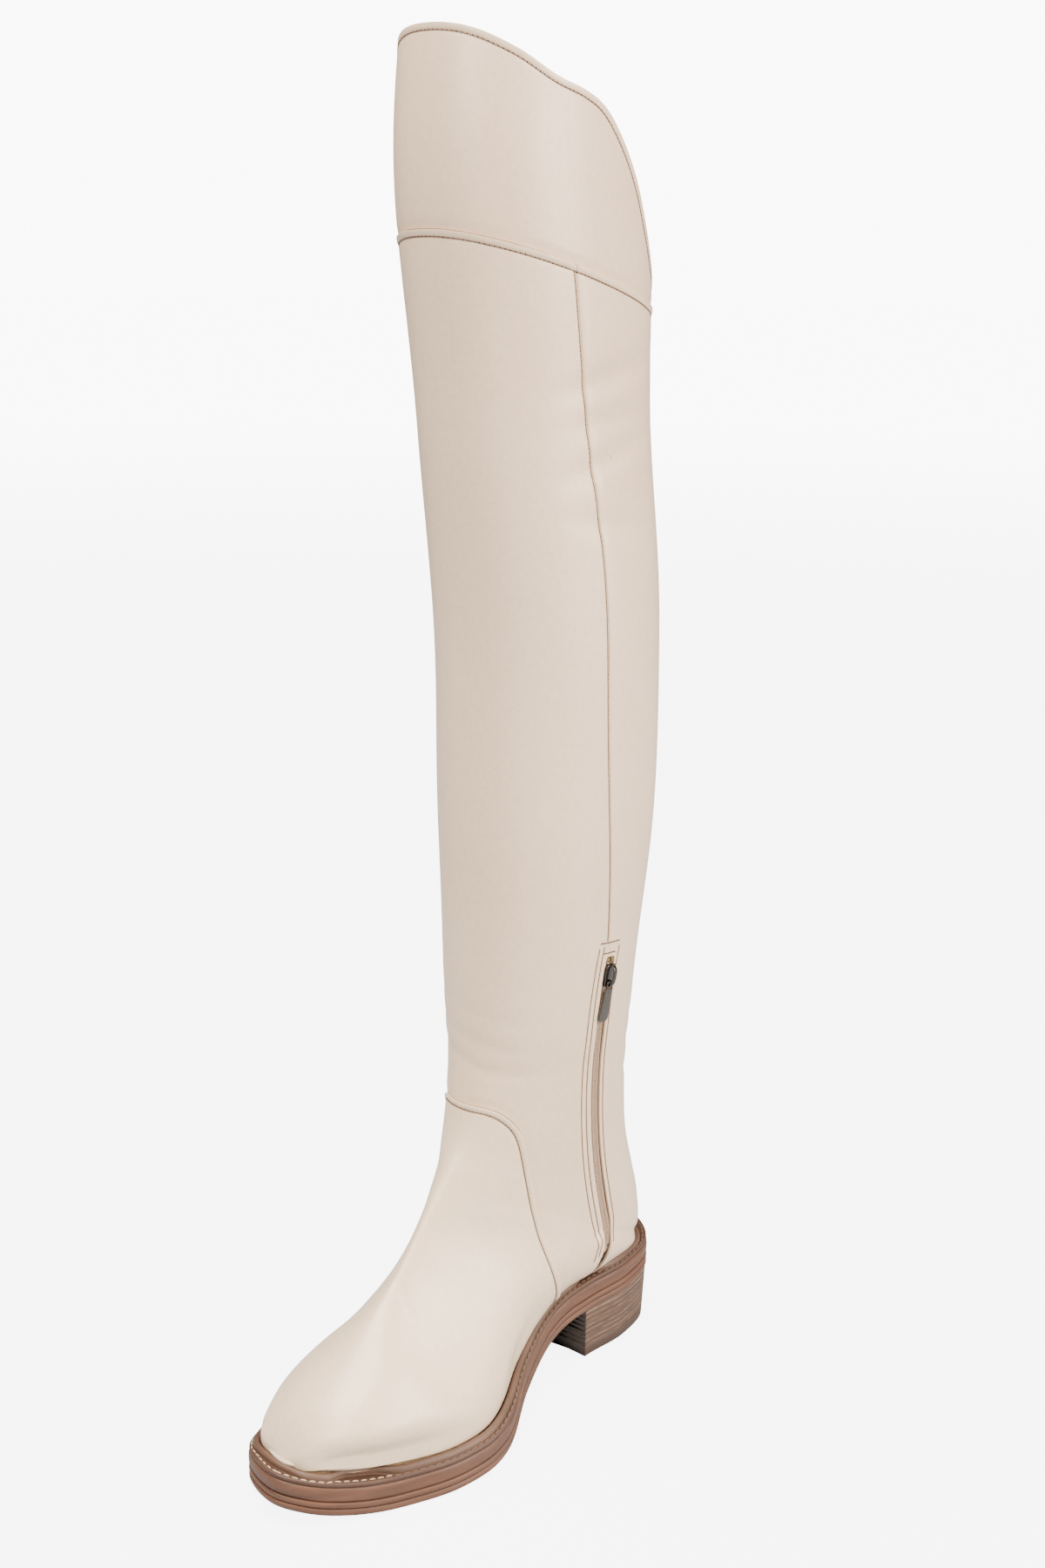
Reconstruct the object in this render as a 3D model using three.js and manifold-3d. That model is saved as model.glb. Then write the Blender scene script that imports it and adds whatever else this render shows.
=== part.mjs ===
// Over-the-knee leather boot for the right foot, with a zip on its inner side and a stacked heel.
// Millimetres. +Z is up, the toe points along -Y, and the inner (zip) side of the leg faces +X.
// The origin is under the middle of the boot, on the ground.

import * as THREE from 'three';
import { mergeVertices } from 'three/addons/utils/BufferGeometryUtils.js';
import Module from 'manifold-3d';

const wasm = await Module();
wasm.setup();

// ---------------------------------------------------------------- driving dimensions

const GAP = 0.3; // clearance between neighbouring pieces
const FACET_TOLERANCE = 0.1; // facets flatter than this are joined

// Ground line of the sole, along the boot.
const SOLE_HALF_LENGTH = 139;
const TOE_SPRING = 10;
const TOE_SPRING_START = -84;
const BALL_END = -45;
const BREAST_Y = 61; // front face of the heel
const HEEL_RISE = 28.5; // height of the heel seat at the breast
const HEEL_PITCH = 3.5; // further rise from the breast to the back

// Heights above the ground line, from the ground up.
const OUTSOLE_TOP = 4;
const SLIP_SOLE_TOP = 7.5;
const WALL_TOP = 15;
const LEDGE_HEIGHT = 2.4;
const BEAD_HEIGHT = 5.4;
const BOARD_BOTTOM = 3;
const BOARD_THICKNESS = 1.5;
const SEAT = 20; // bottom edge of the upper
const SOCK_THICKNESS = 2;

// Insets from the edge of the sole.
const WELT_WIDTH = 12;
const BEAD_START = 3.6;
const BEAD_END = 7;
const BOARD_INSET = 7.5;
const SOCK_INSET = 6;

// Stacked heel.
const TOP_PIECE_HEIGHT = 7;
const LIFT_COUNT = 7;
const FLAT_LIFT_PITCH = 2.9;
const HEEL_TAPER = 1.4; // how far the heel draws in from its top to the ground

// Layers of the upper, as depths under the outer face of the leather.
const LEATHER = [0, 1.4];
const STIFFENER = [1.7, 2.7];
const LINING = [3, 3.9];
const GUARD = [5.6, 6.4];
const SOCK_CLEARANCE = 4.2;

// Zip.
const ZIP_TOP = new THREE.Vector3(43.2, 61, 232);
const ZIP_MIDDLE = new THREE.Vector3(36.4, 60, 160);
const ZIP_BOTTOM = new THREE.Vector3(35.7, 72.5, 83);
const ZIP_LEAN = THREE.MathUtils.degToRad(-27.5); // turns the arc's axis to the outward direction
const SLOT_HALF_WIDTH = 3.9;
const POCKET_HALF_WIDTH = 12;
const TAPE = { inner: 3, outer: 11, top: -1.85, bottom: -2.35, sag: 0.9 };
const CHAIN = { inner: 0.45, outer: 2.7, top: -1, bottom: -3 };

// ---------------------------------------------------------------- ground line

// Height of the outsole's underside along the boot: toe spring, flat ball, arch and heel seat.
function groundLine(y) {
  if (y < TOE_SPRING_START) {
    const t = (TOE_SPRING_START - y) / (SOLE_HALF_LENGTH + TOE_SPRING_START);
    return TOE_SPRING * t * t;
  }
  if (y < BALL_END) {
    return 0;
  }
  if (y < BREAST_Y) {
    return HEEL_RISE * THREE.MathUtils.smoothstep(y, BALL_END, BREAST_Y);
  }
  return HEEL_RISE + (HEEL_PITCH * (y - BREAST_Y)) / (SOLE_HALF_LENGTH - BREAST_Y);
}

const seat = (y) => groundLine(y) + SEAT;

// ---------------------------------------------------------------- sections of the leg and foot

// Each section is a tilted slice through the boot, from the top of the leg down and forward to the toe:
// [front y, front z, back y, back z, half width, half width at the sole, squareness,
//  front x, back x, fullness towards the sole]. "front" is the shin or instep end of the slice and
// "back" is its end on the calf, on the heel or on the sole.
const SECTIONS = [
  [-24.5, 690, 104.5, 690, 44.5, 0, 2.15, 0, 0, 0],
  [-29.5, 600, 107.5, 600, 46.5, 0, 2.15, 0, 0, 0],
  [-15.5, 500, 111.5, 500, 46, 0, 2.15, 0, 0, 0],
  [-2.5, 400, 121, 400, 48, 0, 2.15, 0, 0, 0],
  [0.5, 300, 120.5, 300, 47.2, 0, 2.15, 0, 0, 0],
  [2, 207, 113.5, 205, 40.2, 0, 2.15, 0, 0, 0],
  [1, 185, 112, 172, 37.8, 0, 2.1, 0, -1, 0.1],
  [-1.5, 169, 112.5, 145, 36.8, 0, 2.1, 0, -2, 0.2],
  [-5.5, 155.5, 116.5, 118, 36.4, 0, 2.05, 0, -3, 0.3],
  [-10.5, 144.5, 123.5, 94, 36, 0, 2, 0, -3, 0.45],
  [-16, 135, 129.5, 73, 35.2, 0, 1.95, 1, -2.5, 0.6],
  [-22, 126, 130, seat(130), 34.6, 2, 1.9, 1, -1.5, 0.7],
  [-28, 118, 113, seat(113), 33.8, 25.5, 1.85, 1.5, -1, 0.8],
  [-34.5, 110, 85, seat(85), 32.8, 29.8, 1.8, 2, -1.8, 0.85],
  [-42, 102, 55, seat(55), 32.2, 29.8, 1.75, 3, -3.2, 0.85],
  [-50, 94.5, 25, seat(25), 33, 32.8, 1.7, 4, -2.6, 0.8],
  [-59.5, 87, -5, seat(-5), 36, 39.5, 1.72, 5, 1, 0.75],
  [-71, 78.5, -33, seat(-33), 39.5, 45.5, 1.8, 6, 5, 0.55],
  [-83.5, 70, -58, seat(-58), 42, 45, 1.9, 7, 6.5, 0.3],
  [-95.5, 62.5, -80, seat(-80), 40.5, 40.5, 2, 7.5, 6, 0.12],
  [-106.5, 56.5, -97, seat(-97), 37, 36.5, 2.1, 8, 5.2, 0.04],
  [-115.5, 50.5, -110, seat(-110), 32, 31.5, 2.15, 8, 4.6, 0],
  [-122.5, 43.5, -120, seat(-120), 26, 25.5, 2.2, 7, 4.2, 0],
  [-127, 36, -126.8, seat(-126.8), 18, 17.5, 2.2, 5, 4, 0],
  [-130, 29, -130, seat(-130), 1, 0.8, 2, 4, 4, 0],
];
const FOOT_START = 5; // index of the section above the ankle
const HEEL_SECTION = 11; // index of the section that ends at the back of the heel seat
const ARCH_END = 17; // index of the section that ends where the arch meets the ball
const COLUMNS = 16; // facets from one sole edge over the instep to the other

// ---------------------------------------------------------------- the surface of the upper

function section(u) {
  const last = SECTIONS.length - 1;
  const i = Math.min(Math.max(Math.floor(u), 0), last - 1);
  const t = u - i;
  const before = SECTIONS[Math.max(i - 1, 0)];
  const after = SECTIONS[Math.min(i + 2, last)];
  const values = SECTIONS[i].map((a, k) => {
    const b = SECTIONS[i + 1][k];
    const slopeA = i === 0 ? b - a : (b - before[k]) / 2;
    const slopeB = i === last - 1 ? b - a : (after[k] - a) / 2;
    const t2 = t * t;
    const t3 = t2 * t;
    return a * (2 * t3 - 3 * t2 + 1) + slopeA * (t3 - 2 * t2 + t) + b * (3 * t2 - 2 * t3) + slopeB * (t3 - t2);
  });
  if (u >= HEEL_SECTION) {
    values[3] = seat(values[2]);
  }
  return values;
}

// A point of the outer face: u runs down the boot over the sections, and v runs round the slice
// from -1 (outer side, at the sole or the back seam) over 0 (shin) to 1 (inner side).
function skinPoint(u, v) {
  const [frontY, frontZ, backY, backZ, half, soleHalf, square, frontX, backX, fullness] = section(u);
  const ratio = THREE.MathUtils.clamp(soleHalf / (half * (1 + fullness / 2)), 0, 0.999);
  const cut = (1 - ratio ** square) ** (1 / square);
  const radius = 1 / (1 + cut);
  const angle = Math.abs(v) * (Math.PI - Math.asin(ratio ** (square / 2)));
  const side = Math.sign(v) * Math.abs(Math.sin(angle)) ** (2 / square);
  const c = Math.cos(angle);
  const along = radius * (1 - Math.sign(c) * Math.abs(c) ** (2 / square));
  return new THREE.Vector3(
    frontX + (backX - frontX) * along + half * side * (1 + fullness * (along - 0.5)),
    frontY + (backY - frontY) * along,
    frontZ + (backZ - frontZ) * along,
  );
}

function skinNormal(u, v) {
  const du = 0.02;
  const dv = 0.01;
  const last = SECTIONS.length - 1;
  const alongU = skinPoint(Math.min(u + du, last), v).sub(skinPoint(Math.max(u - du, 0), v));
  const alongV = skinPoint(u, Math.min(v + dv, 1)).sub(skinPoint(u, Math.max(v - dv, -1)));
  const normal = alongU.cross(alongV).normalize();
  if (Math.abs(v) === 1 && section(u)[5] < 0.01) {
    normal.x = 0;
    normal.normalize();
  }
  return normal;
}

function sectionSteps() {
  const steps = [];
  for (let i = 0; i < SECTIONS.length - 1; i += 1) {
    const split = i < FOOT_START || (i >= HEEL_SECTION && i < ARCH_END) ? 2 : 1;
    for (let k = 0; k < split; k += 1) {
      steps.push(i + k / split);
    }
  }
  steps.push(SECTIONS.length - 1);
  return steps;
}

// ---------------------------------------------------------------- making solids

function meshGeometry(points, triangles) {
  const geometry = new THREE.BufferGeometry();
  geometry.setAttribute('position', new THREE.Float32BufferAttribute(points.flatMap((p) => [p.x, p.y, p.z]), 3));
  geometry.setIndex(triangles.flat());
  return geometry;
}

function toSolid(source) {
  const bare = source.clone();
  bare.deleteAttribute('normal');
  bare.deleteAttribute('uv');
  const merged = mergeVertices(bare, 1e-3);
  const index = merged.index.array;
  const triVerts = [];
  for (let i = 0; i < index.length; i += 3) {
    const [a, b, c] = [index[i], index[i + 1], index[i + 2]];
    if (a !== b && b !== c && c !== a) {
      triVerts.push(a, b, c);
    }
  }
  return new wasm.Manifold(new wasm.Mesh({
    numProp: 3,
    vertProperties: new Float32Array(merged.attributes.position.array),
    triVerts: new Uint32Array(triVerts),
  }));
}

function toGeometry(solid) {
  const mesh = solid.getMesh();
  const geometry = new THREE.BufferGeometry();
  geometry.setAttribute('position', new THREE.BufferAttribute(new Float32Array(mesh.vertProperties), 3));
  geometry.setIndex(new THREE.BufferAttribute(new Uint32Array(mesh.triVerts), 1));
  geometry.computeVertexNormals();
  return geometry;
}

// A closed body between two grids of points that have the same rows and columns.
function slab(upper, lower) {
  const rows = upper.length;
  const columns = upper[0].length;
  const points = [...upper.flat(), ...lower.flat()];
  const top = (i, j) => i * columns + j;
  const low = (i, j) => rows * columns + top(i, j);
  const triangles = [];
  const quad = (a, b, c, d) => triangles.push([a, b, c], [a, c, d]);
  for (let i = 0; i < rows - 1; i += 1) {
    for (let j = 0; j < columns - 1; j += 1) {
      quad(top(i, j), top(i, j + 1), top(i + 1, j + 1), top(i + 1, j));
      quad(low(i, j), low(i + 1, j), low(i + 1, j + 1), low(i, j + 1));
    }
    quad(low(i, 0), top(i, 0), top(i + 1, 0), low(i + 1, 0));
    quad(top(i, columns - 1), low(i, columns - 1), low(i + 1, columns - 1), top(i + 1, columns - 1));
  }
  for (let j = 0; j < columns - 1; j += 1) {
    quad(top(0, j), low(0, j), low(0, j + 1), top(0, j + 1));
    quad(low(rows - 1, j), top(rows - 1, j), top(rows - 1, j + 1), low(rows - 1, j + 1));
  }
  return toSolid(meshGeometry(points, triangles));
}

// The whole boot as a closed body, its face sunk by depth under the outer face of the leather.
// drop lowers the flat underside, so that a body cut out of a larger one leaves it open below.
function bootBody(depth, drop = 0) {
  const rings = sectionSteps().map((u) => {
    const soleHalf = section(u)[5];
    const lower = drop * THREE.MathUtils.clamp(soleHalf / 8, 0, 1);
    const ring = [];
    for (let j = 0; j <= COLUMNS; j += 1) {
      const v = -1 + (2 * j) / COLUMNS;
      ring.push(skinPoint(u, v).addScaledVector(skinNormal(u, v), -depth));
    }
    const first = ring[0].clone();
    const last = ring[COLUMNS].clone();
    first.z -= lower;
    last.z -= lower;
    return [first, ...ring, last];
  });
  const size = rings[0].length;
  const points = rings.flat();
  const triangles = [];
  rings.slice(1).forEach((_, i) => {
    for (let j = 0; j < size; j += 1) {
      const a = i * size + j;
      const b = i * size + ((j + 1) % size);
      triangles.push([a, a + size, b + size], [a, b + size, b]);
    }
  });
  [0, rings.length - 1].forEach((i) => {
    const centre = new THREE.Vector3();
    rings[i].forEach((p) => centre.addScaledVector(p, 1 / size));
    points.push(centre);
    for (let j = 0; j < size; j += 1) {
      const a = i * size + j;
      const b = i * size + ((j + 1) % size);
      triangles.push(i === 0 ? [points.length - 1, a, b] : [points.length - 1, b, a]);
    }
  });
  return toSolid(meshGeometry(points, triangles));
}

// A layer of the upper between two depths, open at the sole.
function layer([outer, inner]) {
  const drop = 8;
  return bootBody(outer).subtract(bootBody(inner, drop));
}

// A prism whose outline lies in the side view, [y, z] points, and which runs across the boot.
function sidePrism(outline, fromX, toX) {
  const shape = new THREE.Shape(outline.map(([y, z]) => new THREE.Vector2(y, z)));
  const geometry = new THREE.ExtrudeGeometry(shape, { depth: toX - fromX, bevelEnabled: false });
  const basis = new THREE.Matrix4().makeBasis(
    new THREE.Vector3(0, 1, 0),
    new THREE.Vector3(0, 0, 1),
    new THREE.Vector3(1, 0, 0),
  );
  geometry.applyMatrix4(basis);
  geometry.translate(fromX, 0, 0);
  return toSolid(geometry);
}

const smoothLine = (points, steps) => new THREE.SplineCurve(points.map(([y, z]) => new THREE.Vector2(y, z)))
  .getSpacedPoints(steps)
  .map((p) => [p.x, p.y]);

// A thin wall along a line in the side view: taking it away leaves a seam between two panels.
function seamWall(line, fromX, toX) {
  const sides = [1, -1].map((side) => line.map(([y, z], i) => {
    const [y0, z0] = line[Math.max(i - 1, 0)];
    const [y1, z1] = line[Math.min(i + 1, line.length - 1)];
    const length = Math.hypot(y1 - y0, z1 - z0);
    const reach = (side * GAP) / 2 / length;
    return [y - (z1 - z0) * reach, z + (y1 - y0) * reach];
  }));
  return sidePrism([...sides[0], ...sides[1].reverse()], fromX, toX);
}

// ---------------------------------------------------------------- sole

// Edge of the sole, seen from above: inner side from toe to heel, then outer side back to the toe.
const SOLE_EDGE = new THREE.CatmullRomCurve3([
  [7, -139], [22, -130.5], [34, -114], [46, -89], [56, -61], [56, -28], [40, 6], [31, 36], [30, 67],
  [32, 97], [24, 125], [0, 139], [-24, 125], [-34, 97], [-36, 67], [-41, 36], [-47, 6], [-51, -28],
  [-47, -61], [-41, -89], [-31, -114], [-19, -130.5],
].map(([x, y]) => new THREE.Vector3(x, y, 0)), true, 'centripetal');
const EDGE_STEPS = 240;

function soleEdge(inset, steps) {
  const loop = [];
  for (let i = 0; i < steps; i += 1) {
    const tangent = SOLE_EDGE.getTangent(i / steps);
    const p = SOLE_EDGE.getPoint(i / steps);
    loop.push(new THREE.Vector2(p.x - tangent.y * inset, p.y + tangent.x * inset));
  }
  return loop;
}

// Where the inset edge crosses a line across the sole: [outer side x, inner side x].
function crossing(loop, y) {
  const hits = [];
  loop.forEach((a, i) => {
    const b = loop[(i + 1) % loop.length];
    if ((a.y <= y) !== (b.y <= y)) {
      hits.push(a.x + ((b.x - a.x) * (y - a.y)) / (b.y - a.y));
    }
  });
  return [Math.min(...hits), Math.max(...hits)];
}

// A plate that follows the sole's edge. from and to cut it short along the boot.
function plate({ inset, bottom, top, from = -Infinity, to = Infinity, rows = 32 }) {
  const loop = soleEdge(inset, EDGE_STEPS);
  const tip = 0.02;
  const start = Math.max(Math.min(...loop.map((p) => p.y)) + tip, from);
  const end = Math.min(Math.max(...loop.map((p) => p.y)) - tip, to);
  const grid = (height) => Array.from({ length: rows + 1 }, (_, i) => {
    const even = i / rows;
    const closeAtEnds = (1 - Math.cos(Math.PI * even)) / 2;
    const y = start + ((end - start) * (even + 2 * closeAtEnds)) / 3;
    return crossing(loop, y).map((x) => new THREE.Vector3(x, y, height(y)));
  });
  return slab(grid(top), grid(bottom));
}

const above = (height) => (y) => groundLine(y) + height;
const level = (height) => () => height;

function welt() {
  const profile = [
    [GAP, 0], [WELT_WIDTH, 0], [WELT_WIDTH, LEDGE_HEIGHT], [BEAD_END, LEDGE_HEIGHT], [BEAD_END, 4],
    [6.4, 5.1], [(BEAD_START + BEAD_END) / 2, BEAD_HEIGHT], [4.2, 5.1], [BEAD_START, 4],
    [BEAD_START, LEDGE_HEIGHT], [GAP, LEDGE_HEIGHT],
  ];
  const steps = 60;
  const loops = profile.map(([inset]) => soleEdge(inset, steps));
  const points = [];
  const triangles = [];
  for (let i = 0; i < steps; i += 1) {
    profile.forEach(([, height], k) => {
      const { x, y } = loops[k][i];
      points.push(new THREE.Vector3(x, y, groundLine(y) + WALL_TOP + GAP + height));
    });
    for (let k = 0; k < profile.length; k += 1) {
      const next = (k + 1) % profile.length;
      const a = i * profile.length;
      const b = ((i + 1) % steps) * profile.length;
      triangles.push([a + k, b + next, b + k], [a + k, a + next, b + next]);
    }
  }
  return toSolid(meshGeometry(points, triangles)).subtract(bootBody(-GAP, 1));
}

// ---------------------------------------------------------------- heel

const NAILS = [
  { name: 'heel_nail_1', x: 11, y: 80 },
  { name: 'heel_nail_2', x: -15, y: 80 },
  { name: 'heel_nail_3', x: 9, y: 114 },
  { name: 'heel_nail_4', x: -10, y: 114 },
  { name: 'heel_screw', x: -1, y: 98, shaft: 2.2, head: 4.6 },
];
const NAIL = { shaft: 1.1, head: 2.4, tip: 12, headHeight: 1.2, point: 2, domeShare: 0.8 };
const NAIL_FACETS = 8;
const HOLE = { clearance: 0.4, depth: 60 };
const HEEL_INSET = 0.6; // how far the heel stands in from the edge of the sole

function nail({ x, y, shaft = NAIL.shaft, head = NAIL.head }) {
  const underHead = groundLine(y) + WALL_TOP + 2 * GAP;
  const profile = [
    [0, NAIL.tip], [shaft, NAIL.tip + NAIL.point], [shaft, underHead], [head, underHead],
    [head * NAIL.domeShare, underHead + NAIL.headHeight], [0, underHead + NAIL.headHeight],
  ].map(([r, z]) => new THREE.Vector2(r, z));
  const geometry = new THREE.LatheGeometry(profile, NAIL_FACETS);
  geometry.rotateX(Math.PI / 2);
  geometry.translate(x, y, 0);
  return toSolid(geometry);
}

function drill(solid) {
  return NAILS.reduce((body, { x, y, shaft = NAIL.shaft }) => {
    const radius = shaft + HOLE.clearance;
    const hole = new THREE.CylinderGeometry(radius, radius, HOLE.depth, NAIL_FACETS);
    hole.rotateX(Math.PI / 2);
    hole.translate(x, y, NAIL.tip - GAP + HOLE.depth / 2);
    return body.subtract(toSolid(hole));
  }, solid);
}

function heelPlate(bottom, top, height) {
  const taper = HEEL_TAPER * (1 - height / HEEL_RISE);
  return plate({ inset: HEEL_INSET + taper, bottom, top, from: BREAST_Y + taper, rows: 10 });
}

function heelLift(index) {
  const bottom = TOP_PIECE_HEIGHT + GAP + index * FLAT_LIFT_PITCH;
  const isTop = index === LIFT_COUNT - 1;
  const top = isTop ? above(-GAP) : level(bottom + FLAT_LIFT_PITCH - GAP);
  return drill(heelPlate(level(bottom), top, bottom));
}

// ---------------------------------------------------------------- zip track

// The slider's path is an arc of a circle through three points, so the slider turns about its axis.
const zipArc = (() => {
  const a = ZIP_TOP.clone().sub(ZIP_BOTTOM);
  const b = ZIP_MIDDLE.clone().sub(ZIP_BOTTOM);
  const normal = a.clone().cross(b);
  const centre = b.clone().multiplyScalar(a.lengthSq()).sub(a.clone().multiplyScalar(b.lengthSq()))
    .cross(normal)
    .divideScalar(2 * normal.lengthSq())
    .add(ZIP_BOTTOM);
  const axis = normal.normalize();
  if (axis.x < 0) {
    axis.negate();
  }
  const start = ZIP_TOP.clone().sub(centre);
  return { centre, axis, radius: start.length(), start: start.normalize() };
})();
const ZIP_SPAN = zipArc.start.angleTo(ZIP_BOTTOM.clone().sub(zipArc.centre)) * zipArc.radius;
const BEND_START = ZIP_SPAN - 1;
const BEND_LENGTH = 26;
const FORWARD_BEND = 11; // how far the tape curves towards the toe over the bend's length

// The frame of the zip at a distance along its arc from the top: origin, across (towards the toe),
// along (down) and out (away from the leg).
function zipFrame(distance) {
  const radial = zipArc.start.clone().applyAxisAngle(zipArc.axis, distance / zipArc.radius);
  const out = zipArc.axis.clone().multiplyScalar(Math.cos(ZIP_LEAN)).addScaledVector(radial, Math.sin(ZIP_LEAN));
  const across = zipArc.axis.clone().multiplyScalar(-Math.sin(ZIP_LEAN)).addScaledVector(radial, Math.cos(ZIP_LEAN));
  const along = zipArc.axis.clone().cross(radial);
  const origin = zipArc.centre.clone().addScaledVector(radial, zipArc.radius);
  return { origin, across, along, out };
}

// A strip swept along the zip: across from inner to outer, and between two heights over the track.
function zipStrip({ inner, outer, bottom, top, from, to, bend = false, sag = 0 }) {
  const steps = Math.max(Math.round((to - from) / 9), 1);
  const grid = (height) => Array.from({ length: steps + 1 }, (_, i) => {
    const distance = from + ((to - from) * i) / steps;
    const { origin, across, out } = zipFrame(distance);
    const over = Math.max(distance - BEND_START, 0) / BEND_LENGTH;
    const shift = bend ? FORWARD_BEND * over * over : 0;
    return [inner, outer].map((a) => (
      origin.clone().addScaledVector(across, a + shift).addScaledVector(out, height - sag * (a / TAPE.outer) ** 2)
    ));
  });
  return slab(grid(top), grid(bottom));
}

const TAPE_END = ZIP_SPAN + 20;
const TAPE_POCKET_FLOOR = -8;
const SLOT_TOP = -6;

// The room that the zip takes in a layer of the upper.
function zipSlot(halfWidth, from = SLOT_TOP, reach = 12) {
  return zipStrip({
    inner: -halfWidth, outer: halfWidth, bottom: -reach, top: reach, from, to: ZIP_SPAN + 50, bend: true,
  });
}

// ---------------------------------------------------------------- upper

const FAR = 120;
const TOPLINE = smoothLine([
  [-60, 670], [-30, 669], [-8, 658.5], [10, 648], [27, 642.5], [40, 636], [54, 622], [66, 606], [76, 588],
  [88, 569], [102, 561], [150, 558],
], 20);
const BAND_SEAM = [[-80, 599], [150, 535]];
const VAMP_SEAM = smoothLine([
  [-60, 168], [-14, 167], [-3, 165.5], [4, 163.5], [10, 158.5], [15, 151], [18.5, 140], [22, 122], [25.5, 103],
  [29, 84], [34, 66], [43, 46], [54, 30],
], 18);
const INNER_SEAM = smoothLine([
  [12, 610], [21, 573], [34, 497], [45.5, 432], [52, 340], [59.5, 243], [60.5, 236],
], 12);
const OUTER_SEAM = smoothLine([
  [12, 610], [21, 573], [34, 497], [45.5, 432], [52, 340], [59.5, 243], [60, 160], [66, 100], [66, 20],
], 16);
const LINING_SEAM_Z = 150;
const INTERLINING = { bottom: 176, underBandSeam: 2 };
const TOE_PUFF = { back: -84, lean: 6, top: 90 };
const COUNTER = { innerFront: 92, outerFront: 60, top: 96, slope: 26 };
const SMALLEST_PANEL = 50; // scraps of leather with less volume than this are dropped

const openTop = sidePrism([...TOPLINE, [150, 720], [-60, 720]], -FAR, FAR);

const middleOf = (solid) => {
  const box = solid.boundingBox();
  return [0, 1, 2].map((k) => (box.min[k] + box.max[k]) / 2);
};

// Cuts the leather into its panels and tells them apart by where they lie.
function leatherPanels() {
  const cuts = [
    openTop,
    seamWall(BAND_SEAM, -FAR, FAR),
    seamWall(VAMP_SEAM, -FAR, FAR),
    seamWall(INNER_SEAM, 0, FAR),
    seamWall(OUTER_SEAM, -FAR, 0),
    zipSlot(SLOT_HALF_WIDTH),
    ...[1, -1].map((side) => zipStrip({
      ...TAPE,
      inner: side > 0 ? TAPE.inner - GAP : -TAPE.outer - GAP,
      outer: side > 0 ? TAPE.outer + GAP : GAP - TAPE.inner,
      top: TAPE.top + GAP,
      bottom: TAPE_POCKET_FLOOR,
      from: SLOT_TOP - 2,
      to: TAPE_END + 2,
      bend: true,
    })),
  ];
  const pieces = cuts.reduce((body, cut) => body.subtract(cut), layer(LEATHER)).decompose()
    .filter((piece) => piece.volume() > SMALLEST_PANEL)
    .map((piece) => ({ piece, at: middleOf(piece) }));
  const take = (score) => {
    pieces.sort((p, q) => score(q.at) - score(p.at));
    return pieces.shift().piece;
  };
  return {
    top_band: take(([, , z]) => z),
    vamp: take(([, y]) => -y),
    back_shaft_panel: take(([, y]) => y),
    front_shaft_panel: take(([, y]) => -y),
  };
}

function stiffeners() {
  const body = layer(STIFFENER);
  const shaftTop = BAND_SEAM.map(([y, z]) => [y, z - INTERLINING.underBandSeam]);
  const shaftZone = sidePrism([
    [-80, INTERLINING.bottom], [200, INTERLINING.bottom], ...shaftTop.reverse(),
  ], -FAR, FAR);
  const toeZone = sidePrism([
    [-160, 0], [TOE_PUFF.back, 0], [TOE_PUFF.back - TOE_PUFF.lean, TOE_PUFF.top], [-160, TOE_PUFF.top],
  ], -FAR, FAR);
  const counterZone = (front, fromX, toX) => sidePrism([
    [front, 0], [160, 0], [160, COUNTER.top],
    [front + COUNTER.slope, COUNTER.top], [front, COUNTER.top - COUNTER.slope],
  ], fromX, toX);
  return {
    shaft_interlining: body.intersect(shaftZone).subtract(zipSlot(POCKET_HALF_WIDTH, SLOT_TOP - 6)),
    toe_puff: body.intersect(toeZone),
    heel_counter: body.intersect(
      counterZone(COUNTER.outerFront, -FAR, 0.1).add(counterZone(COUNTER.innerFront, 0, FAR)),
    ),
  };
}

function linings() {
  const body = layer(LINING).subtract(openTop).subtract(zipSlot(POCKET_HALF_WIDTH, SLOT_TOP - 6));
  const zone = (bottom, top) => sidePrism([[-200, bottom], [200, bottom], [200, top], [-200, top]], -FAR, FAR);
  const foot = body.intersect(zone(-10, LINING_SEAM_Z));
  const shaft = body.intersect(zone(LINING_SEAM_Z + GAP, 720));
  return { shaft_lining: shaft, foot_lining: foot };
}

// ---------------------------------------------------------------- zip parts

const CHAIN_TOP = -1.4;
const CHAIN_END = ZIP_SPAN - 5;
const STOP_LENGTH = 2.6;

function zipTape(side) {
  const [inner, outer] = side > 0 ? [TAPE.inner, TAPE.outer] : [-TAPE.outer, -TAPE.inner];
  const strip = zipStrip({ ...TAPE, inner, outer, from: SLOT_TOP, to: TAPE_END, bend: true });
  return strip.subtract(plate({ inset: -10, bottom: level(0), top: above(SEAT + 0.5) }));
}

function zipChain(side) {
  const [inner, outer] = side > 0 ? [CHAIN.inner, CHAIN.outer] : [-CHAIN.outer, -CHAIN.inner];
  return zipStrip({ ...CHAIN, inner, outer, from: CHAIN_TOP, to: CHAIN_END });
}

function zipTopStop(side) {
  const [inner, outer] = side > 0 ? [CHAIN.inner, CHAIN.outer] : [-CHAIN.outer, -CHAIN.inner];
  const to = CHAIN_TOP - GAP;
  return zipStrip({ inner, outer, bottom: CHAIN.bottom - 0.2, top: CHAIN.top + 0.3, from: to - STOP_LENGTH, to });
}

function zipBottomStop() {
  const from = CHAIN_END + GAP;
  return zipStrip({
    inner: -CHAIN.outer, outer: CHAIN.outer, bottom: CHAIN.bottom - 0.2, top: CHAIN.top + 0.2,
    from, to: from + STOP_LENGTH,
  });
}

function zipGuard() {
  const halfWidth = 16;
  const zone = zipStrip({
    inner: -halfWidth, outer: halfWidth, bottom: -14, top: 6, from: SLOT_TOP - 8, to: ZIP_SPAN + 8, bend: true,
  });
  return layer(GUARD).intersect(zone);
}

// ---------------------------------------------------------------- slider and puller

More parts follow.
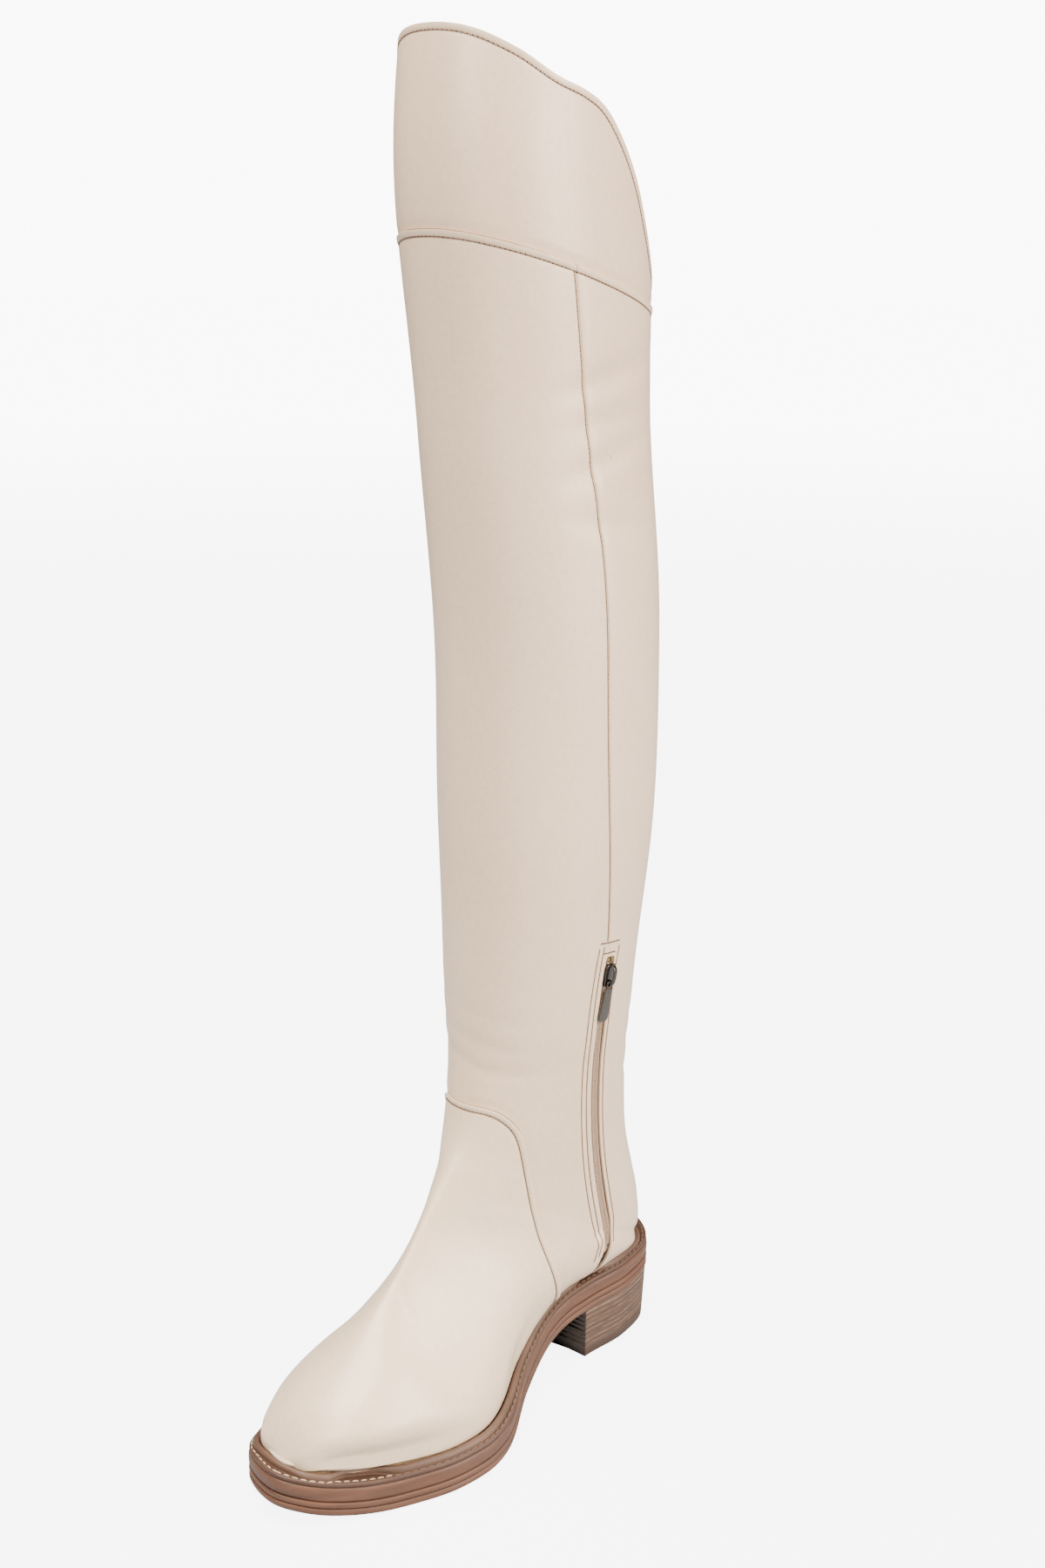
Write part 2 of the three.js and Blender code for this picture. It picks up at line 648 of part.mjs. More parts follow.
const SLIDER_AT = 5; // distance down the zip at rest
const SLIDER = { halfLength: 6, shoulder: 3.5, tail: 2.9, top: 0.5, under: -0.7, lower: -3.3, bottom: -4.2 };
const BRIDGE = { half: 1, end: 5.5, top: 4.2, wall: 1.7 };
const PULLER = { pivotAlong: 3.1, pivotOut: 1.75, pin: 0.45, loop: 4, length: 22, thickness: 0.9 };

// Places a shape drawn in (across, along, out) of the zip at a distance down its track.
function placeOnZip(geometry, distance) {
  const { origin, across, along, out } = zipFrame(distance);
  return geometry.applyMatrix4(new THREE.Matrix4().makeBasis(across, along, out).setPosition(origin));
}

function flatPlate(outline, from, to) {
  const shape = new THREE.Shape(outline.map(([a, t]) => new THREE.Vector2(a, t)));
  const geometry = new THREE.ExtrudeGeometry(shape, { depth: to - from, bevelEnabled: false });
  geometry.translate(0, 0, from);
  return geometry;
}

function block(fromA, toA, fromT, toT, fromH, toH) {
  const geometry = new THREE.BoxGeometry(toA - fromA, toT - fromT, toH - fromH);
  geometry.translate((fromA + toA) / 2, (fromT + toT) / 2, (fromH + toH) / 2);
  return geometry;
}

const joinOnZip = (geometries, distance) => geometries
  .map((geometry) => toSolid(placeOnZip(geometry, distance)))
  .reduce((a, b) => a.add(b));

function zipSlider() {
  const { halfLength, shoulder, tail, top, under, lower, bottom } = SLIDER;
  const outline = [
    [-tail, halfLength], [-shoulder, 0], [-shoulder, -4], [-2, -halfLength],
    [2, -halfLength], [shoulder, -4], [shoulder, 0], [tail, halfLength],
  ];
  const lip = 0.5;
  const joined = 0.05;
  const lips = [-1, 1].flatMap((side) => [
    [under - 0.8, under + joined],
    [lower - joined, lower + 0.6],
  ].map(([from, to]) => {
    const edges = [side * shoulder, side * (shoulder - lip)].sort((p, q) => p - q);
    return block(...edges, -4, 0, from, to);
  }));
  const arch = [
    block(-BRIDGE.half, BRIDGE.half, -BRIDGE.end, -BRIDGE.end + BRIDGE.wall, top - joined, BRIDGE.top),
    block(-BRIDGE.half, BRIDGE.half, BRIDGE.end - BRIDGE.wall, BRIDGE.end, top - joined, BRIDGE.top),
    block(-BRIDGE.half, BRIDGE.half, -BRIDGE.end, BRIDGE.end, BRIDGE.top - 1.2, BRIDGE.top),
  ];
  return joinOnZip([
    flatPlate(outline, under, top),
    flatPlate(outline, bottom, lower),
    block(-0.2, 0.2, -5.5, -2.5, bottom + joined, top - joined),
    ...lips,
    ...arch,
  ], SLIDER_AT);
}

function zipPuller() {
  const { pivotAlong, pivotOut, pin, loop, length, thickness } = PULLER;
  const half = thickness / 2;
  const arm = [1.4, 2.4];
  const tabTop = pivotAlong + loop;
  const tabEnd = pivotAlong + length;
  const pinShape = new THREE.CylinderGeometry(pin, pin, 2 * arm[0] + 0.4, 10);
  pinShape.rotateZ(Math.PI / 2);
  pinShape.translate(0, pivotAlong, pivotOut);
  const arms = [-1, 1].map((side) => {
    const edges = arm.map((a) => a * side).sort((p, q) => p - q);
    return block(...edges, pivotAlong - 0.8, tabTop + 0.5, pivotOut - half, pivotOut + half);
  });
  const tab = flatPlate([
    [-2.4, tabTop], [2.4, tabTop], [3.7, tabEnd - 2], [2.6, tabEnd], [-2.6, tabEnd], [-3.7, tabEnd - 2],
  ], pivotOut - half, pivotOut + half);
  return joinOnZip([tab, ...arms, pinShape], SLIDER_AT);
}

// ---------------------------------------------------------------- assembly

const MATERIALS = {
  leather: { color: 0xded3c6, roughness: 0.5, metalness: 0 },
  lining: { color: 0xd8cbb8, roughness: 0.8, metalness: 0 },
  board: { color: 0xb99c78, roughness: 0.9, metalness: 0 },
  cork: { color: 0x9b7550, roughness: 0.95, metalness: 0 },
  steel: { color: 0x9a9ca0, roughness: 0.4, metalness: 1 },
  gunmetal: { color: 0x5c5856, roughness: 0.3, metalness: 1 },
  brass: { color: 0xc9ad72, roughness: 0.35, metalness: 1 },
  tape: { color: 0xb49c88, roughness: 0.8, metalness: 0 },
  sole: { color: 0xb28972, roughness: 0.6, metalness: 0 },
  welt: { color: 0x6c5142, roughness: 0.55, metalness: 0 },
  stack: { color: 0x8d7567, roughness: 0.65, metalness: 0 },
};

const boot = new THREE.Group();

function addPiece(name, materialName, solid) {
  const material = new THREE.MeshStandardMaterial(MATERIALS[materialName]);
  const mesh = new THREE.Mesh(toGeometry(solid.simplify(FACET_TOLERANCE)), material);
  mesh.name = name;
  boot.add(mesh);
}

// Sole unit.
[
  ['outsole', 0, OUTSOLE_TOP - GAP],
  ['slip_sole', OUTSOLE_TOP, SLIP_SOLE_TOP - GAP],
  ['midsole', SLIP_SOLE_TOP, WALL_TOP],
].forEach(([name, bottom, top]) => {
  addPiece(name, 'sole', drill(plate({ inset: 0, bottom: above(bottom), top: above(top) })));
});
addPiece('welt', 'welt', welt());
addPiece('cork_filler', 'cork', plate({
  inset: WELT_WIDTH + GAP,
  bottom: above(WALL_TOP + GAP),
  top: above(WALL_TOP + BOARD_BOTTOM - GAP),
  to: -36,
  rows: 14,
}));
addPiece('insole_board', 'board', plate({
  inset: BOARD_INSET,
  bottom: above(WALL_TOP + BOARD_BOTTOM),
  top: above(WALL_TOP + BOARD_BOTTOM + BOARD_THICKNESS),
}));
addPiece('sock_liner', 'lining', plate({ inset: SOCK_INSET, bottom: above(SEAT), top: above(SEAT + SOCK_THICKNESS) })
  .intersect(bootBody(SOCK_CLEARANCE, 8)));

function shank() {
  const halfWidth = 6;
  const ends = [-26, 90];
  const rows = 10;
  const grid = (height) => Array.from({ length: rows + 1 }, (_, i) => {
    const y = ends[0] + ((ends[1] - ends[0]) * i) / rows;
    return [-halfWidth, halfWidth].map((x) => new THREE.Vector3(x, y, groundLine(y) + WALL_TOP + height));
  });
  return slab(grid(BOARD_BOTTOM - 2 * GAP), grid(2 * GAP));
}
addPiece('shank', 'steel', shank());

// Heel.
for (let i = 0; i < LIFT_COUNT; i += 1) {
  addPiece(`heel_lift_${i + 1}`, 'stack', heelLift(i));
}
addPiece('heel_top_piece', 'welt', heelPlate(level(0), level(TOP_PIECE_HEIGHT), 0));
NAILS.forEach((fastener) => addPiece(fastener.name, 'steel', nail(fastener)));

// Upper.
Object.entries(leatherPanels()).forEach(([name, solid]) => addPiece(name, 'leather', solid));
Object.entries(stiffeners()).forEach(([name, solid]) => addPiece(name, 'board', solid));
Object.entries(linings()).forEach(([name, solid]) => addPiece(name, 'lining', solid));

// Zip.
addPiece('zip_tape_front', 'tape', zipTape(1));
addPiece('zip_tape_rear', 'tape', zipTape(-1));
addPiece('zip_chain_front', 'tape', zipChain(1));
addPiece('zip_chain_rear', 'tape', zipChain(-1));
addPiece('zip_top_stop_front', 'brass', zipTopStop(1));
addPiece('zip_top_stop_rear', 'brass', zipTopStop(-1));
addPiece('zip_bottom_stop', 'brass', zipBottomStop());
addPiece('zip_guard', 'lining', zipGuard());
addPiece('zip_slider', 'gunmetal', zipSlider());
addPiece('zip_puller', 'gunmetal', zipPuller());

// The sole reaches further out on its inner side, so the boot moves over to centre it over the origin.
const bounds = new THREE.Box3().setFromObject(boot);
const middle = bounds.getCenter(new THREE.Vector3());
boot.position.set(-middle.x, -middle.y, -bounds.min.z);

export default boot;
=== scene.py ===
import math

import bmesh
import bpy
import numpy as np
from mathutils import Matrix, Vector


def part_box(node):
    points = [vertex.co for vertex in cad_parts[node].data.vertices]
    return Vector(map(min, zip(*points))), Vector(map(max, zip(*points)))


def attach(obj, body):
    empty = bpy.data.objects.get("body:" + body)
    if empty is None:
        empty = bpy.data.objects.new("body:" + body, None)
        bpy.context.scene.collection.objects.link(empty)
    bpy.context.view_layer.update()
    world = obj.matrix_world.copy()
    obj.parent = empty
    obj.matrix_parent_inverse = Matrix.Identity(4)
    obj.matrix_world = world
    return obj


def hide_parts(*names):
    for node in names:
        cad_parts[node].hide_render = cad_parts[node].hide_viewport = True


# Looks of the boot. The shapes below are worked out in millimetres in the modelling frame of the CAD
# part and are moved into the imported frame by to_metres().

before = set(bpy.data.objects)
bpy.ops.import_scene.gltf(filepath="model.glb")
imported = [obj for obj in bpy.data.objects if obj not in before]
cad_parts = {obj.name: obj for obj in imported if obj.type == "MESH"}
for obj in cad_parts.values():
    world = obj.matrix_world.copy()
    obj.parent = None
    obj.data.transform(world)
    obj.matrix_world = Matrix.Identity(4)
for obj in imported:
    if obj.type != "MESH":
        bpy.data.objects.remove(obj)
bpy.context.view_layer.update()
rng = np.random.default_rng(7)

# ---------------------------------------------------------------- dimensions shared with the CAD part

SOLE_HALF_LENGTH = 139.0
TOE_SPRING = 10.0
TOE_SPRING_START = -84.0
BALL_END = -45.0
BREAST_Y = 61.0
HEEL_RISE = 28.5
HEEL_PITCH = 3.5
OUTSOLE_TOP = 4.0
SLIP_SOLE_TOP = 7.5
WALL_TOP = 15.0
SEAT = 20.0
TOP_PIECE_HEIGHT = 7.0
LIFT_COUNT = 7
LIFT_PITCH = 2.9
HEEL_TAPER = 1.4
LEATHER_THICKNESS = 1.4
HEEL_SECTION = 11

SECTIONS = np.array([
    [-24.5, 690, 104.5, 690, 44.5, 0, 2.15, 0, 0, 0],
    [-29.5, 600, 107.5, 600, 46.5, 0, 2.15, 0, 0, 0],
    [-15.5, 500, 111.5, 500, 46, 0, 2.15, 0, 0, 0],
    [-2.5, 400, 121, 400, 48, 0, 2.15, 0, 0, 0],
    [0.5, 300, 120.5, 300, 47.2, 0, 2.15, 0, 0, 0],
    [2, 207, 113.5, 205, 40.2, 0, 2.15, 0, 0, 0],
    [1, 185, 112, 172, 37.8, 0, 2.1, 0, -1, 0.1],
    [-1.5, 169, 112.5, 145, 36.8, 0, 2.1, 0, -2, 0.2],
    [-5.5, 155.5, 116.5, 118, 36.4, 0, 2.05, 0, -3, 0.3],
    [-10.5, 144.5, 123.5, 94, 36, 0, 2, 0, -3, 0.45],
    [-16, 135, 129.5, 73, 35.2, 0, 1.95, 1, -2.5, 0.6],
    [-22, 126, 130, 0, 34.6, 2, 1.9, 1, -1.5, 0.7],
    [-28, 118, 113, 0, 33.8, 25.5, 1.85, 1.5, -1, 0.8],
    [-34.5, 110, 85, 0, 32.8, 29.8, 1.8, 2, -1.8, 0.85],
    [-42, 102, 55, 0, 32.2, 29.8, 1.75, 3, -3.2, 0.85],
    [-50, 94.5, 25, 0, 33, 32.8, 1.7, 4, -2.6, 0.8],
    [-59.5, 87, -5, 0, 36, 39.5, 1.72, 5, 1, 0.75],
    [-71, 78.5, -33, 0, 39.5, 45.5, 1.8, 6, 5, 0.55],
    [-83.5, 70, -58, 0, 42, 45, 1.9, 7, 6.5, 0.3],
    [-95.5, 62.5, -80, 0, 40.5, 40.5, 2, 7.5, 6, 0.12],
    [-106.5, 56.5, -97, 0, 37, 36.5, 2.1, 8, 5.2, 0.04],
    [-115.5, 50.5, -110, 0, 32, 31.5, 2.15, 8, 4.6, 0],
    [-122.5, 43.5, -120, 0, 26, 25.5, 2.2, 7, 4.2, 0],
    [-127, 36, -126.8, 0, 18, 17.5, 2.2, 5, 4, 0],
    [-130, 29, -130, 0, 1, 0.8, 2, 4, 4, 0],
], float)

SOLE_EDGE = np.array([
    [7, -139], [22, -130.5], [34, -114], [46, -89], [56, -61], [56, -28], [40, 6], [31, 36], [30, 67],
    [32, 97], [24, 125], [0, 139], [-24, 125], [-34, 97], [-36, 67], [-41, 36], [-47, 6], [-51, -28],
    [-47, -61], [-41, -89], [-31, -114], [-19, -130.5],
], float)

TOPLINE = np.array([
    [-60, 670], [-30, 669], [-8, 658.5], [10, 648], [27, 642.5], [40, 636], [54, 622], [66, 606], [76, 588],
    [88, 569], [102, 561], [150, 558],
], float)
BAND_SEAM = np.array([[-80, 599], [150, 535]], float)
VAMP_SEAM = np.array([
    [-60, 168], [-14, 167], [-3, 165.5], [4, 163.5], [10, 158.5], [15, 151], [18.5, 140], [22, 122],
    [25.5, 103], [29, 84], [34, 66], [43, 46], [54, 30],
], float)
INNER_SEAM = np.array([
    [12, 610], [21, 573], [34, 497], [45.5, 432], [52, 340], [59.5, 243], [60.5, 236], [61.5, 200],
], float)
OUTER_SEAM = np.array([
    [12, 610], [21, 573], [34, 497], [45.5, 432], [52, 340], [59.5, 243], [60, 160], [66, 100], [66, 20],
], float)

ZIP_TOP = np.array([43.2, 61, 232])
ZIP_MIDDLE = np.array([36.4, 60, 160])
ZIP_BOTTOM = np.array([35.7, 72.5, 83])
ZIP_LEAN = math.radians(-27.5)
BEND_LENGTH = 26.0
FORWARD_BEND = 11.0
SLIDER_AT = 5.0

# ---------------------------------------------------------------- small maths helpers


def smoothstep(x, low, high):
    t = np.clip((x - low) / (high - low), 0, 1)
    return t * t * (3 - 2 * t)


def bump(x, centre, width):
    return np.exp(-((x - centre) / width) ** 2)


def catmull_rom(points, steps):
    """A smooth line through the points, with steps pieces for each span."""
    padded = np.vstack([points[:1], points, points[-1:]])
    line = []
    for i in range(len(points) - 1):
        a, b, c, d = padded[i:i + 4]
        for k in range(steps):
            t = k / steps
            line.append(0.5 * (2 * b + (c - a) * t + (2 * a - 5 * b + 4 * c - d) * t ** 2
                               + (3 * b - a - 3 * c + d) * t ** 3))
    line.append(points[-1])
    return np.array(line)


def signed_distance(line, y, z):
    """Distance from a line in the side view, positive on its left-hand side."""
    best = np.full(np.shape(y), 1e9)
    sign = np.ones(np.shape(y))
    runs = np.diff(line, axis=0)
    runs /= np.linalg.norm(runs, axis=1, keepdims=True)
    for i, ((y0, z0), (y1, z1)) in enumerate(zip(line[:-1], line[1:])):
        dy, dz = y1 - y0, z1 - z0
        t = np.clip(((y - y0) * dy + (z - z0) * dz) / (dy * dy + dz * dz), 0, 1)
        ey, ez = y - (y0 + t * dy), z - (z0 + t * dz)
        dist = np.hypot(ey, ez)
        closer = dist < best - 1e-9
        before = runs[i] + runs[max(i - 1, 0)]
        after = runs[i] + runs[min(i + 1, len(runs) - 1)]
        ry = np.where(t <= 0, before[0], np.where(t >= 1, after[0], dy))
        rz = np.where(t <= 0, before[1], np.where(t >= 1, after[1], dz))
        best = np.where(closer, dist, best)
        sign = np.where(closer, np.where(ry * ez - rz * ey >= 0, 1.0, -1.0), sign)
    return best * sign


def ground_line(y):
    y = np.asarray(y, float)
    spring = np.clip((TOE_SPRING_START - y) / (SOLE_HALF_LENGTH + TOE_SPRING_START), 0, None)
    arch = smoothstep(y, BALL_END, BREAST_Y)
    pitch = np.clip((y - BREAST_Y) / (SOLE_HALF_LENGTH - BREAST_Y), 0, None)
    return TOE_SPRING * spring ** 2 + HEEL_RISE * arch + HEEL_PITCH * pitch


# ---------------------------------------------------------------- the outer face of the upper


def section(u):
    last = len(SECTIONS) - 1
    i = np.clip(np.floor(u).astype(int), 0, last - 1)
    t = (u - i)[..., None]
    table = SECTIONS.copy()
    table[HEEL_SECTION:, 3] = ground_line(table[HEEL_SECTION:, 2]) + SEAT
    a = table[i]
    b = table[i + 1]
    slope_a = np.where((i == 0)[..., None], b - a, (b - table[np.maximum(i - 1, 0)]) / 2)
    slope_b = np.where((i == last - 1)[..., None], b - a, (table[np.minimum(i + 2, last)] - a) / 2)
    t2, t3 = t * t, t * t * t
    row = (a * (2 * t3 - 3 * t2 + 1) + slope_a * (t3 - 2 * t2 + t) + b * (3 * t2 - 2 * t3)
           + slope_b * (t3 - t2))
    on_seat = u >= HEEL_SECTION
    row[..., 3] = np.where(on_seat, ground_line(row[..., 2]) + SEAT, row[..., 3])
    return row


def skin_point(u, v):
    u = np.asarray(u, float)
    v = np.asarray(v, float)
    row = section(u)
    front_y, front_z, back_y, back_z, half, sole_half, square, front_x, back_x, full = np.moveaxis(row, -1, 0)
    ratio = np.clip(sole_half / (half * (1 + full / 2)), 0, 0.999)
    radius = 1 / (1 + (1 - ratio ** square) ** (1 / square))
    angle = np.abs(v) * (np.pi - np.arcsin(ratio ** (square / 2)))
    side = np.sign(v) * np.abs(np.sin(angle)) ** (2 / square)
    c = np.cos(angle)
    along = radius * (1 - np.sign(c) * np.abs(c) ** (2 / square))
    return np.stack([
        front_x + (back_x - front_x) * along + half * side * (1 + full * (along - 0.5)),
        front_y + (back_y - front_y) * along,
        front_z + (back_z - front_z) * along,
    ], -1)


def skin_normal(u, v):
    last = len(SECTIONS) - 1
    u = np.asarray(u, float)
    v = np.asarray(v, float)
    along_u = skin_point(np.minimum(u + 0.02, last), v) - skin_point(np.maximum(u - 0.02, 0), v)
    along_v = skin_point(u, np.minimum(v + 0.01, 1)) - skin_point(u, np.maximum(v - 0.01, -1))
    normal = np.cross(along_u, along_v)
    on_back = (np.abs(v) > 0.999) & (u < HEEL_SECTION - 0.5)
    normal[..., 0] = np.where(on_back, 0, normal[..., 0])
    return normal / np.maximum(np.linalg.norm(normal, axis=-1, keepdims=True), 1e-9)


# ---------------------------------------------------------------- the zip's track


def make_arc():
    a = ZIP_TOP - ZIP_BOTTOM
    b = ZIP_MIDDLE - ZIP_BOTTOM
    normal = np.cross(a, b)
    centre = np.cross(b * (a @ a) - a * (b @ b), normal) / (2 * (normal @ normal)) + ZIP_BOTTOM
    axis = normal / np.linalg.norm(normal)
    axis = axis if axis[0] > 0 else -axis
    start = ZIP_TOP - centre
    radius = np.linalg.norm(start)
    end = (ZIP_BOTTOM - centre) / radius
    start = start / radius
    span = math.acos(float(start @ end)) * radius
    return centre, axis, radius, start, span


ARC_CENTRE, ARC_AXIS, ARC_RADIUS, ARC_START, ZIP_SPAN = make_arc()
ARC_SIDE = np.cross(ARC_AXIS, ARC_START)
BEND_START = ZIP_SPAN - 1


def zip_shift(distance):
    over = np.clip((np.asarray(distance, float) - BEND_START) / BEND_LENGTH, 0, None)
    return FORWARD_BEND * over * over


def zip_frame(distance):
    angle = np.asarray(distance, float)[..., None] / ARC_RADIUS
    radial = ARC_START * np.cos(angle) + ARC_SIDE * np.sin(angle)
    out = ARC_AXIS * math.cos(ZIP_LEAN) + radial * math.sin(ZIP_LEAN)
    across = -ARC_AXIS * math.sin(ZIP_LEAN) + radial * math.cos(ZIP_LEAN)
    along = np.cross(ARC_AXIS, radial)
    return ARC_CENTRE + radial * ARC_RADIUS, across, along, out


def zip_place(across_by, distance, height):
    """A point given across the zip (towards the toe), down it and out from it."""
    origin, across, _, out = zip_frame(distance)
    shifted = np.asarray(across_by, float) + zip_shift(distance)
    return origin + across * shifted[..., None] + out * np.asarray(height, float)[..., None]


def zip_coordinates(points):
    """How far points lie across the zip and down it."""
    flat = points - ARC_CENTRE
    flat = flat - (flat @ ARC_AXIS)[..., None] * ARC_AXIS
    distance = np.arctan2(flat @ ARC_SIDE, flat @ ARC_START) * ARC_RADIUS
    origin, across, _, _ = zip_frame(distance)
    return ((points - origin) * across).sum(-1) - zip_shift(distance), distance


# ---------------------------------------------------------------- making objects

outsole_low, outsole_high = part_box("outsole")


def closed_curve(points, steps):
    """Centripetal Catmull-Rom curve through a closed ring of points, steps pieces for each span."""
    ring = []
    n = len(points)
    for i in range(n):
        p = [points[(i + k - 1) % n] for k in range(4)]
        gap = [np.sum((p[k + 1] - p[k]) ** 2) ** 0.25 for k in range(3)]
        t1 = (p[1] - p[0]) / gap[0] - (p[2] - p[0]) / (gap[0] + gap[1]) + (p[2] - p[1]) / gap[1]
        t2 = (p[2] - p[1]) / gap[1] - (p[3] - p[1]) / (gap[1] + gap[2]) + (p[3] - p[2]) / gap[2]
        t1, t2 = t1 * gap[1], t2 * gap[1]
        for k in range(steps):
            t = k / steps
            ring.append(p[1] + t1 * t + (3 * (p[2] - p[1]) - 2 * t1 - t2) * t ** 2
                        + (2 * (p[1] - p[2]) + t1 + t2) * t ** 3)
    return np.array(ring)


RING_STEPS = 16
edge_ring = closed_curve(SOLE_EDGE, RING_STEPS)
SHIFT = np.array([
    (outsole_low.x + outsole_high.x) * 500 - (edge_ring[:, 0].min() + edge_ring[:, 0].max()) / 2,
    (outsole_low.y + outsole_high.y) * 500,
    0.0,
])


def to_metres(points):
    return (np.asarray(points, float) + SHIFT) * 0.001


def make_object(name, points, faces, materials, body="boot"):
    mesh = bpy.data.meshes.new(name)
    coords = to_metres(points)
    mesh.from_pydata([tuple(p) for p in coords.tolist()], [], [tuple(int(i) for i in f) for f in faces])
    mesh.validate()
    mesh.update()
    obj = bpy.data.objects.new(name, mesh)
    bpy.context.scene.collection.objects.link(obj)
    for material in materials:
        mesh.materials.append(material)
    mesh.polygons.foreach_set("use_smooth", [True] * len(mesh.polygons))
    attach(obj, body)
    return obj


def add_thickness(obj, thickness_mm, round_mm, segments=2):
    """Gives a sheet its thickness, inwards, and rounds its cut edges."""
    solid = obj.modifiers.new("thickness", "SOLIDIFY")
    solid.thickness = thickness_mm * 0.001
    solid.offset = -1
    rounding(obj, round_mm, segments)


def rounding(obj, round_mm, segments=2, limit=40):
    bevel = obj.modifiers.new("rounding", "BEVEL")
    bevel.width = round_mm * 0.001
    bevel.segments = segments
    bevel.limit_method = "ANGLE"
    bevel.angle_limit = math.radians(limit)
    bevel.harden_normals = False


def grid_faces(rows, columns, wrap=False, start=0):
    faces = []
    last = columns if wrap else columns - 1
    for i in range(rows - 1):
        for j in range(last):
            k = (j + 1) % columns
            faces.append((start + i * columns + j, start + i * columns + k,
                          start + (i + 1) * columns + k, start + (i + 1) * columns + j))
    return faces


# ---------------------------------------------------------------- sheets cut from the outer face


GRID_CELL = 2.4
GRID_AROUND = 133
BACK_MARK = 0.72


def surface_grid():
    """The (u, v) grid of the upper, about GRID_CELL millimetres a cell."""
    last = len(SECTIONS) - 1
    marks = np.linspace(0, last, last * 40 + 1)
    front = skin_point(marks, np.zeros_like(marks))
    back = skin_point(marks, np.full_like(marks, BACK_MARK))
    step = np.maximum(*(np.linalg.norm(np.diff(line, axis=0), axis=1) for line in (front, back)))
    length = np.concatenate([[0], np.cumsum(step)])
    rows = int(length[-1] / GRID_CELL)
    u = np.interp(np.linspace(0, length[-1], rows), length, marks)
    u[-1] = last - 0.02
    v = np.linspace(-1, 1, GRID_AROUND)
    return np.meshgrid(u, v, indexing="ij")


GRID_U, GRID_V = surface_grid()
GRID_ROWS, GRID_COLUMNS = GRID_U.shape


SMALLEST_PIECE = 200
LARGEST_MOVE = 0.2
WELD_REACH = 0.00004


